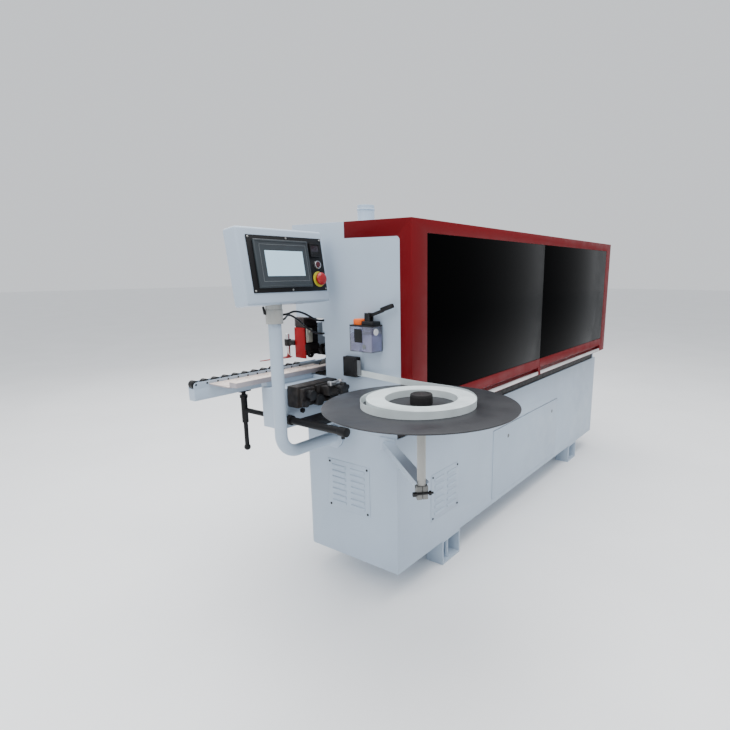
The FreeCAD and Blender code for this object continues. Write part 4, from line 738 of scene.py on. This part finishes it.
# %% Ribbed motors
def ribbed_motor(bm, start, end, radius, fins=24):
    axis = along(start, end)
    length = (Vector(end) - Vector(start)).length
    for i in range(fins):
        turn = axis @ Matrix.Rotation(2 * math.pi * i / fins, 4, "Z")
        block(bm, (radius - 1, -1, length * 0.14), (radius + 4, 1, length * 0.78), 0.5, 1, turn)
    cover = [(0, length), (radius * 0.55, length), (radius * 0.95, length * 0.97),
             (radius + 4, length * 0.93), (radius + 4, length * 0.80), (radius, length * 0.79)]
    lathe(bm, cover + [(0, length * 0.79)], start, end, 40)
    lathe(bm, [(radius, 0.5), (radius + 4, 2), (radius + 4, length * 0.12), (radius, length * 0.13)],
          start, end, 40, ring=True)


MOTOR_SIDE = 325
bm = bmesh.new()
for middle in (940, 1290, 1710):
    ribbed_motor(bm, (middle, MOTOR_SIDE, 861), (middle, MOTOR_SIDE, 748), 40)
    ribbed_motor(bm, (middle, MOTOR_SIDE, 1005), (middle, MOTOR_SIDE, 1158), 40)
ribbed_motor(bm, (440, 210, 965), (440, 210, 1124), 42)
ribbed_motor(bm, (2337, 401, 845), (2337, 208, 845), 43)
make("motor_housings", bm, GREY_PAINT, "root")

# %% [markdown]
# The cutter heads are discs with tungsten tips round them. The tips are small plates set a
# little ahead of the rim, one for each gullet.

# %% Cutter heads
SPINDLE = (1290, 360)
CUTTER_LEVELS = (895, 945)
bm = bmesh.new()
for low in CUTTER_LEVELS:
    lathe(bm, [(8.2, 0), (24, 0), (28, 2), (28, 20), (24, 22), (8.2, 22)], (*SPINDLE, low),
          (*SPINDLE, low + 1), 48, ring=True)
    for i in range(8):
        turn = Matrix.Translation((*SPINDLE, low)) @ Matrix.Rotation(math.pi * i / 4, 4, "Z")
        block(bm, (25, -1.5, 1), (32, 1.5, 21), 0.4, 1, turn)
lathe(bm, [(8.2, 0), (14, 0), (14, 28), (8.2, 28)], (*SPINDLE, 917), (*SPINDLE, 918), 32, ring=True)
make("cutter_heads", bm, STEEL, "trim_cutters", ["trim_cutters"])

# %% [markdown]
# A panel coming in rolls along twelve black rollers in the white rail. Each roller turns on its
# own body, so each is its own piece, made by a loop, with its blackened axle through it.

# %% Rail rollers
ROLLER_HEIGHT, ROLLER_START, ROLLER_PITCH = 910, -434, 46
RAIL_SIDE, RAIL_WIDTH = 595, 35
ROLLER_COUNT = 12
for i in range(ROLLER_COUNT):
    body = f"rail_roller_{i + 1:02d}"
    x = ROLLER_START + ROLLER_PITCH * i
    start, end = (x, RAIL_SIDE + 4, ROLLER_HEIGHT), (x, RAIL_SIDE + 5, ROLLER_HEIGHT)
    bm = bmesh.new()
    lathe(bm, [(4, 0), (9, 0), (9.5, 1.5), (12.5, 1.5), (15, 3.5), (15, 23.5), (12.5, 25.5), (9.5, 25.5),
               (9, 27), (4, 27)], start, end, 40, ring=True)
    make(body + "_tyre", bm, BLACK_PLASTIC, body, [body])
    bm = bmesh.new()
    bar(bm, (x, RAIL_SIDE - 1, ROLLER_HEIGHT), (x, RAIL_SIDE + RAIL_WIDTH + 1, ROLLER_HEIGHT), 3.9, 0.6, 16)
    make(body + "_axle", bm, OXIDE, body)

# %% [markdown]
# The rail's box has a lower half that stands a hair proud of its roller cheeks, which draws a
# light line along it. The long service door is one flat sheet with a rounded rim and two turn
# locks. A black rubber sill strip closes the slit between cabinet and hood, and its black also
# paints in the shadow that lies in that slit.

# %% Rail ledge, service door and a sill strip as painted shadow
bm = bmesh.new()
block(bm, (-443, 594.1, 850), (199, 596, 893), 0.8)
make("rail_ledge", bm, WHITE_PAINT, "root")
LOCKS = ((981, 455), (1607, 455))
bm = bmesh.new()
block(bm, (808, -3, 150), (1695, 4, 521), 1.6, 3)
make("service_door_sheet", bm, WHITE_PAINT, "service_door", ["service_door"])
bm = bmesh.new()
for x, z in LOCKS:
    lathe(bm, [(0, 1.2), (9, 1.2), (11, 0), (11, -2), (0, -2)], (x, -3, z), (x, -4, z), 32)
    block(bm, (x - 1.2, -4.8, z - 7), (x + 1.2, -3.6, z + 7), 0.3, 1)
make("door_locks", bm, GREY_PLASTIC, "service_door")
# Sill strip: a rubber seal whose black also serves as painted shadow in the slit under the hood.
bm = bmesh.new()
block(bm, (6, 6, 691.2), (2384, 12, 761), 1)
make("sill_strip_painted_shadow", bm, RUBBER, "root")

# %% [markdown]
# The tape feed is a busy casting: clamp knobs, a pinch roller's air cylinder, fittings and
# screws. Knurled knobs are a bar with thin ribs set round it, which one helper makes.

# %% Tape feed
def knurled_knob(bm, start, end, radius, ribs=20):
    axis = along(start, end)
    length = (Vector(end) - Vector(start)).length
    bar(bm, start, end, radius - 1, 1.2, 40)
    for i in range(ribs):
        turn = axis @ Matrix.Rotation(2 * math.pi * i / ribs, 4, "Z")
        block(bm, (radius - 2, -0.9, length * 0.15), (radius, 0.9, length * 0.85), 0, 1, turn)


bm = bmesh.new()
block(bm, (-214, 300, 815), (0, 356, 897), 4)
block(bm, (-206, 282, 822), (-138, 302, 890), 5)
block(bm, (-128, 284, 850), (-8, 302, 892), 4)
block(bm, (-112, 240, 852), (-34, 284, 888), 5)
block(bm, (-60, 290, 818), (-4, 302, 846), 3)
bar(bm, (-70, 282, 880), (-70, 203.5, 880), 6, 0.8, 20)
for across, up in ((-198, 884), (-146, 884), (-198, 828), (-20, 884), (-20, 826)):
    socket_screw(bm, (across, 300, up) if across > -130 else (across, 282, up), (0, -1, 0), 5, 3)
make("feeder_casting", bm, CASTING, "root", ["tape_feeder"])
bm = bmesh.new()
knurled_knob(bm, (-174, 282, 864), (-174, 257, 864), 20, 24)
knurled_knob(bm, (-199, 282, 835), (-199, 264, 835), 13)
knurled_knob(bm, (-126, 300, 837), (-126, 269, 837), 23, 28)
knurled_knob(bm, (-64, 290, 835), (-64, 270, 835), 9, 12)
make("feeder_knobs", bm, BLACK_PLASTIC, "root")
bm = bmesh.new()
bar(bm, (-104, 238.6, 900), (-44, 238.6, 900), 7, 1, 24)
block(bm, (-108, 230, 892), (-96, 248, 909), 1.5)
block(bm, (-52, 230, 892), (-40, 248, 909), 1.5)
make("feeder_cylinder", bm, ALUMINIUM, "root")

# %% [markdown]
# The star knob has five lobes for a firm grip. The lobes are round bars fused by overlap to a
# hub, all with a generous round edge, and a cap covers the screw. The piece turns as one.

# %% Star knob
KNOB = Vector((-70, 0, 880))
bm = bmesh.new()
bar(bm, KNOB + Vector((0, 214, 0)), KNOB + Vector((0, 190, 0)), 18.5, 3)
for i in range(5):
    angle = 2 * math.pi * i / 5 + math.pi / 2
    lobe = KNOB + Vector((16 * math.cos(angle), 0, 16 * math.sin(angle)))
    bar(bm, lobe + Vector((0, 213.6, 0)), lobe + Vector((0, 190.4, 0)), 9.9, 3, 24)
lathe(bm, [(0, 1.4), (5, 1), (8, 0), (0, 0)], KNOB + Vector((0, 190.2, 0)), KNOB + Vector((0, 189.2, 0)), 24)
make("star_knob_moulding", bm, BLACK_PLASTIC, "star_knob", ["star_knob"])

# %% [markdown]
# The tape enters the hood through a guide: a black box with big round corners, a slot up its
# middle and a grey wear plate in front. The box is made as two cheeks with the slot between.

# %% Tape guide
bm = bmesh.new()
block(bm, (-26, 172, 918), (-18, 242, 996), 3.5, 3)
block(bm, (-10, 172, 918), (0, 242, 996), 2, 2)
block(bm, (-20, 176, 953), (-8, 240, 992), 1.5)
block(bm, (-20, 174, 918), (-8, 240, 922.5), 1)
for across, up in ((181, 927), (233, 927), (181, 987), (233, 987)):
    socket_screw(bm, (-26, across, up), (-1, 0, 0), 3.5, 2)
make("guide_box", bm, BLACK_PLASTIC, "root", ["tape_guide"])
bm = bmesh.new()
block(bm, (-22, 154, 928), (-19, 176, 986), 1)
make("guide_wear_plate", bm, GREY_PLASTIC, "root")

# %% [markdown]
# Oil for the chain waits in a clear tank. The tank's node is kept, softened, because it already
# has the right walls, and the oil is a body of its own set in from them, so the tank's plastic
# still reads as plastic. A dark plate and a moulded boss sit on its front, and a white dial on its side.

# %% Oil tank
TANK_LOW, TANK_HIGH = Vector((-64, 60, 1027)), Vector((0, 167, 1121))
OIL_LEVEL = 1092
softened("oil_reservoir", 1.2, CLEAR_PLASTIC, "clear_tank")
bm = bmesh.new()
block(bm, TANK_LOW + Vector((3.3, 3.3, 3.3)), (TANK_HIGH.x - 3.3, TANK_HIGH.y - 3.3, OIL_LEVEL), 1)
make("oil_charge", bm, OIL, "root")
bm = bmesh.new()
block(bm, (-66, 106, 1062), (-63.5, 143, 1112), 1)
block(bm, (-66.4, 111, 1072), (-65, 138, 1104), 0.5, 1)
make("tank_gauge", bm, BLACK_PLASTIC, "root")
bm = bmesh.new()
dial = [(0, -1), (12, -1), (12, 2.2), (10.5, 3), (9.5, 2.2), (0, 2.2)]
lathe(bm, dial, (-40, 60, 1102), (-40, 59, 1102), 32)
make("tank_dial", bm, WHITE_PLASTIC, "root")
bm = bmesh.new()
lathe(bm, [(0, -1), (8, -1), (8, 1.6), (6, 2), (0, 2)], (-64, 96, 1048), (-65, 96, 1048), 32)
make("tank_boss", bm, GREY_PLASTIC, "root")

# %% [markdown]
# On the lid sit the hand pump and an orange filler cap with grip ribs round it. The lever's
# cheeks are part of the pump node, so the node is softened, and a squat pump body is added. The
# lever is a flat shank that swells into a thick grip, drawn level and then raised on its pivot.

# %% Pump and filler cap
softened("oil_pump", 1.0, BLACK_PLASTIC, "hand_pump")
bm = bmesh.new()
block(bm, (-56, 62, 1125.6), (-8, 116, 1140), 3, 3)
make("pump_body", bm, BLACK_PLASTIC, "root")
PIVOT = Matrix.Translation((-32, 98, 1158)) @ Matrix.Rotation(math.radians(-19), 4, "X")
bm = bmesh.new()
block(bm, (-4, -74, -6), (4, 9, 6), 2, 2, PIVOT)
block(bm, (-8.5, -120, -4), (8.5, -64, 12), 4, 3, PIVOT)
make("pump_lever", bm, BLACK_PLASTIC, "oil_handle", ["oil_handle"])
CAP_FOOT, CAP_TOP = Vector((-32, 141, 1125.6)), Vector((-32, 141, 1146))
bm = bmesh.new()
knurled_knob(bm, CAP_FOOT, CAP_TOP, 25, 32)
lathe(bm, [(0, 1.2), (12, 1.2), (15, 0), (0, 0)], CAP_TOP, CAP_TOP + Vector((0, 0, 1)), 40)
make("filler_cap", bm, ORANGE_PLASTIC, "root")

# %% [markdown]
# The tray is a sheet disc whose rim is rolled a few millimetres under, so it is one lathe profile
# with a wall. The rubber hub that centres the coil has a grip of shallow flutes and a dished top.

# %% Coil tray and hub
TRAY = Vector((-250, -288, 924))
UP = Vector((0, 0, 1))
HUB_RIBS = 36
bm = bmesh.new()
boss = [(0, -4), (22, -4), (22, -12), (9, -12), (9, -62), (0, -62)]
plate = [(0, 0), (297, 0), (299.3, -0.8), (300, -2.4), (299.4, -4.4), (297, -5), (290, -4), (0, -4)]
lathe(bm, plate, TRAY, TRAY + UP, 128)
lathe(bm, boss, TRAY, TRAY + UP, 48)
make("tray_disc", bm, TRAY_PAINT, "tray", ["coil_tray"])
bm = bmesh.new()
grip = [(0, 0.2), (34, 0.2), (34, 31), (32.5, 34), (30, 35), (24, 35), (22, 33), (8, 32.5), (6, 34), (0, 34)]
lathe(bm, grip, TRAY, TRAY + UP, 64)
for i in range(HUB_RIBS):
    turn = Matrix.Translation(TRAY) @ Matrix.Rotation(2 * math.pi * i / HUB_RIBS, 4, "Z")
    block(bm, (33.2, -1.4, 4), (34.6, 1.4, 28), 0.4, 1, turn)
make("tray_hub", bm, RUBBER, "tray")

# %% [markdown]
# A coil of edging tape is one strip wound on itself many times, and the turns never lie quite
# level. The profile of the top and bottom is a comb: each turn stands a little higher or lower
# than the next, by a repeating pattern, and a lathe winds it. The outermost wrap has sprung: it
# leaves the coil where the lead starts, comes back to it, and bulges away on the far side. An
# upright edge is dragged round, its distance from the hub given by `sprung`.

# %% Tape coil
COIL_INNER, COIL_OUTER, TAPE_WIDTH = 110.5, 167, 23
TURNS = 36
wind = (COIL_OUTER - COIL_INNER) / TURNS
levels = [0.25 * math.sin(i * 2.4) + 0.15 * math.sin(i * 0.7) for i in range(TURNS)]
top = []
for i, level in enumerate(levels):
    radius = COIL_INNER + i * wind
    top += [(radius, TAPE_WIDTH - 1.0), (radius + 0.35, TAPE_WIDTH - 0.45 + level),
            (radius + wind - 0.35, TAPE_WIDTH - 0.45 + level)]
top.append((COIL_OUTER, TAPE_WIDTH - 1.0))
bm = bmesh.new()
lathe(bm, [(COIL_INNER, 0.1)] + top + [(COIL_OUTER, 0.1)], TRAY, TRAY + UP, 96, ring=True)
make("wound_tape", bm, EDGE_TAPE, "tray", ["tape_coil"], smooth=20)
SPRING = 18.6
WRAP_STEPS, WRAP_DEGREES = 110, 320
LEAVES, BULGE_FROM, BULGE_TO = 60, 110, 305


def sprung(back):
    """How far the outer wrap stands from the hub, by the degrees wound back from the lead."""
    gap = 0
    if back < LEAVES:
        gap = math.cos(math.pi / 2 * back / LEAVES) ** 2
    elif BULGE_FROM < back < BULGE_TO:
        gap = math.sin(math.pi * (back - BULGE_FROM) / (BULGE_TO - BULGE_FROM)) ** 2
    return COIL_OUTER + 0.6 + SPRING * gap


bm = bmesh.new()
strip = bmesh.new()
corners = [strip.verts.new((sprung(0), 0, height)) for height in (0.3, TAPE_WIDTH - 0.3)]
front = strip.edges.new(corners)
for step in range(1, WRAP_STEPS + 1):
    back = WRAP_DEGREES * step / WRAP_STEPS
    made = bmesh.ops.extrude_edge_only(strip, edges=[front])["geom"]
    front = next(item for item in made if isinstance(item, bmesh.types.BMEdge))
    for vert in front.verts:
        vert.co.x = sprung(back) * math.cos(math.radians(-back))
        vert.co.y = sprung(back) * math.sin(math.radians(-back))
bmesh.ops.recalc_face_normals(strip, faces=strip.faces)
bmesh.ops.solidify(strip, geom=strip.faces, thickness=0.5)
add(bm, strip, Matrix.Translation(TRAY))
make("loose_wrap", bm, EDGE_TAPE, "tray")

# %% [markdown]
# The control box leans back on its collar, so it is drawn upright in the panel's own frame and
# leaned by `PANEL_PLAN`. Its case is a box with wide round edges, as folded and ground sheet
# has, a cover with screws at the back, and a neck that sits on the mast. A small clamp lever
# beside the collar locks the swivel.

# %% Control box
CASE_WIDTH, CASE_DEPTH, CASE_HEIGHT = 380, 70, 256
bm = bmesh.new()
block(bm, (0, 0, 0), (CASE_WIDTH, CASE_DEPTH, CASE_HEIGHT), 9, 4)
block(bm, (22, CASE_DEPTH - 1, 22), (CASE_WIDTH - 22, CASE_DEPTH + 1.5, CASE_HEIGHT - 22), 1)
make("panel_case", bm, WHITE_PAINT, "panel", ["panel_box"], PANEL_PLAN)
bm = bmesh.new()
for across in (32, CASE_WIDTH - 32):
    for up in (32, CASE_HEIGHT - 32):
        socket_screw(bm, (across, CASE_DEPTH + 1.5, up), (0, 1, 0), 4, 2.5)
make("panel_back_screws", bm, OXIDE, "panel", plan=PANEL_PLAN)
MAST, COLLAR_TOP = (-280, 324), 1188.3
bm = bmesh.new()
lathe(bm, [(0, 0), (28, 0), (29, 1), (29, 26), (0, 26)], (*MAST, COLLAR_TOP), (*MAST, COLLAR_TOP + 1), 48)
make("panel_neck", bm, CREAM_PAINT_WITH_PAINTED_SHADE, "panel")
bm = bmesh.new()
bar(bm, (-302, 332, 1174), (-311, 336, 1174), 5, 0.8, 16)
bar(bm, (-310, 335, 1172), (-315, 338, 1199), 5.5, 1.5, 20, 4)
make("collar_clamp_lever", bm, BLACK_PLASTIC, "root")

# %% [markdown]
# The front plate is thin black sheet held by six screws. The temperature meter is a square
# instrument: a raised bezel round a dark window that is switched off, with small keys below it.

# %% Control plate and meter
BUTTON_ACROSS, START_UP, STOP_UP = 331, 133, 81
bm = bmesh.new()
block(bm, (33, -3, 39), (367, 0.5, 229), 1)
make("front_plate", bm, BLACK_PAINT, "panel", ["control_plate"], PANEL_PLAN)
bm = bmesh.new()
for across in (40, 200, 360):
    for up in (46, 222):
        socket_screw(bm, (across, -3, up), (0, -1, 0), 3.4, 2.2)
make("plate_screws", bm, ZINC, "panel", plan=PANEL_PLAN)
bm = bmesh.new()
for low, high in (((303, -9, 161), (306.5, -2, 209)), ((347.5, -9, 161), (351, -2, 209)),
                  ((303, -9, 161), (351, -2, 165)), ((303, -9, 205), (351, -2, 209))):
    block(bm, low, high, 0.9)
block(bm, (305, -7.2, 163), (349, -2, 207), 0)
for i in range(4):
    block(bm, (308 + 10 * i, -8.2, 168), (315 + 10 * i, -6.5, 173), 0.6, 1)
make("meter_case", bm, BLACK_PLASTIC, "panel", plan=PANEL_PLAN)
bm = bmesh.new()
block(bm, (309, -7.6, 180), (345, -6.8, 201), 0.3, 1)
make("meter_window", bm, moulded("meter_window", (0.022, 0.017, 0.022), 0.2, relief=0.02), "panel",
     plan=PANEL_PLAN)

# %% [markdown]
# The touch screen is a panel instrument of its own: a dark stepped bezel, a thin light line
# round the glass and the lit area in the middle. The bezel's front face is inset twice and
# pushed back, which is how the step is moulded. The line is four slim strips.

# %% Touch screen
SCREEN_LOW, SCREEN_HIGH = Vector((54, -11, 54)), Vector((291, -3, 215))
LIT_LOW, LIT_HIGH = (94, 93), (261, 178)
LINE_LOW, LINE_HIGH, LINE_WIDTH = (75, 75), (279.5, 199), 1.2
bm, part = bmesh.new(), bmesh.new()
bmesh.ops.create_cube(part, size=1)
bmesh.ops.scale(part, verts=part.verts, vec=SCREEN_HIGH - SCREEN_LOW)
bmesh.ops.translate(part, verts=part.verts, vec=(SCREEN_LOW + SCREEN_HIGH) / 2)
front = [face for face in part.faces if face.normal.y < -0.9]
bmesh.ops.inset_region(part, faces=front, thickness=9, depth=0)
bmesh.ops.inset_region(part, faces=front, thickness=1.2, depth=-1.6)
outer = [edge for edge in part.edges if edge.calc_face_angle(0) > 1 and edge.calc_length() > 3
         and all(abs(vert.co.x - 172.5) > 117 for vert in edge.verts)]
rounded(part, outer, 2.2, 3)
add(bm, part)
make("screen_bezel", bm, moulded("bezel_plastic", (0.022, 0.030, 0.036), 0.42), "panel",
     ["touch_screen"], PANEL_PLAN)
bm = bmesh.new()
for low, high in ((LINE_LOW, (LINE_HIGH[0], LINE_LOW[1] + LINE_WIDTH)),
                  ((LINE_LOW[0], LINE_HIGH[1] - LINE_WIDTH), LINE_HIGH),
                  (LINE_LOW, (LINE_LOW[0] + LINE_WIDTH, LINE_HIGH[1])),
                  ((LINE_HIGH[0] - LINE_WIDTH, LINE_LOW[1]), LINE_HIGH)):
    block(bm, (low[0], -9.9, low[1]), (high[0], -8.8, high[1]), 0.2, 1)
make("screen_outline", bm, GREY_PLASTIC, "panel", plan=PANEL_PLAN)
bm = bmesh.new()
block(bm, (LIT_LOW[0], -10.5, LIT_LOW[1]), (LIT_HIGH[0], -9.5, LIT_HIGH[1]), 0.2, 1)
make("lit_screen", bm, SCREEN_GLOW, "panel", plan=PANEL_PLAN)

# %% [markdown]
# The start button is a red dome in a metal ring, and the stop is a red mushroom over a yellow
# disc. Both are lathe work along the panel's depth, and each rides on its own body, because each
# is pressed by itself.

# %% Buttons
def facing(across, depth, up):
    """The two ends of a line that leaves the panel's face towards the operator."""
    return (across, depth, up), (across, depth - 1, up)


bm = bmesh.new()
lathe(bm, [(11, 0), (14.5, 0), (14.5, 6.4), (13.8, 7.4), (12, 7.4), (11, 6.4)],
      *facing(BUTTON_ACROSS, -3, START_UP), 48, ring=True)
make("start_ring", bm, STEEL, "panel", plan=PANEL_PLAN)
bm = bmesh.new()
lathe(bm, [(10.95, 0), (27, 0), (28, 0.8), (27.4, 2), (10.95, 2)], *facing(BUTTON_ACROSS, -3, STOP_UP), 64,
      ring=True)
make("stop_disc", bm, YELLOW_PLASTIC, "panel", plan=PANEL_PLAN)
bm = bmesh.new()
lathe(bm, [(0, -8), (10.7, -8), (10.7, 11), (10, 11.7), (6, 12), (0, 12)],
      *facing(BUTTON_ACROSS, 0, START_UP), 48)
make("start_dome", bm, DARK_RED_PLASTIC, "start_button", ["start_button"], PANEL_PLAN)
bm = bmesh.new()
lathe(bm, [(0, -8), (10.7, -8), (10.7, 10.5), (18, 10.5), (22.2, 12), (23.5, 14.5), (23, 18.5), (20.8, 23),
           (16, 26.4), (9, 28), (0, 28)], *facing(BUTTON_ACROSS, 0, STOP_UP), 64)
make("stop_mushroom", bm, RED_PLASTIC, "estop_button", ["estop_button"], PANEL_PLAN)

# %% [markdown]
# The tray's spindle is a cream tube that ends in a split steel clamp, turned to face along the
# arm. One long bolt pulls the clamp together, so it has a hexagon head on one side and a nut on
# the other, and a larger nut sits on the console. Hexagons are six-sided bars with a rounded rim.

# %% Spindle, clamp and bolts
SPINDLE_X, SPINDLE_Y, SPINDLE_TOP, SPINDLE_RADIUS = -250, -288, 911.5, 13.9
CLAMP_LOW, CLAMP_HIGH, CLAMP_HALF = 620.6, 664.4, 17
BOLT_HEIGHT = 642.5
CLAMP_TURN = Matrix.Translation((SPINDLE_X, SPINDLE_Y, 0)) @ Matrix.Rotation(math.radians(-41), 4, "Z")
bm = bmesh.new()
bar(bm, (SPINDLE_X, SPINDLE_Y, CLAMP_HIGH), (SPINDLE_X, SPINDLE_Y, SPINDLE_TOP), SPINDLE_RADIUS, 0.6, 48)
make("spindle_tube", bm, CREAM_PAINT_WITH_PAINTED_SHADE, "root")
bm = bmesh.new()
for side in (-1, 1):
    middle = side * (CLAMP_HALF / 2 + 0.8)
    block(bm, (middle - CLAMP_HALF / 2, -CLAMP_HALF, CLAMP_LOW),
          (middle + CLAMP_HALF / 2, CLAMP_HALF, CLAMP_HIGH), 1.2, 2, CLAMP_TURN)
make("spindle_clamp", bm, finish("clamp_steel", (0.20, 0.20, 0.19), 0.5, metallic=0.5), "root")
bm = bmesh.new()
for start, end, radius, sides in ((-34, 34, 4, 20), (-33, -19.5, 8.5, 6), (19.5, 27, 8.5, 6)):
    bar(bm, CLAMP_TURN @ Vector((start, -CLAMP_HALF - 3, BOLT_HEIGHT)),
        CLAMP_TURN @ Vector((end, -CLAMP_HALF - 3, BOLT_HEIGHT)), radius, 1, sides)
bar(bm, (-140, 362, 785), (-140, 352, 785), 11, 1.5, 6)
make("hexagon_bolts", bm, OXIDE, "root")

# %% [markdown]
# Last comes the floor, which belongs to the stage and not to the machine.

floor_data = bpy.data.meshes.new("floor")
floor_form = bmesh.new()
bmesh.ops.create_grid(floor_form, x_segments=1, y_segments=1, size=40)
floor_form.to_mesh(floor_data)
floor_form.free()
floor = bpy.data.objects.new("floor", floor_data)
FLOOR_FINISH = finish("pale_floor", (0.86, 0.87, 0.88), 0.7)
ramp(FLOOR_FINISH, grain(FLOOR_FINISH, 1.5, 3), (0.85, 0.86, 0.87), (0.88, 0.89, 0.90), "Base Color")
floor_data.materials.append(FLOOR_FINISH)
bpy.context.scene.collection.objects.link(floor)
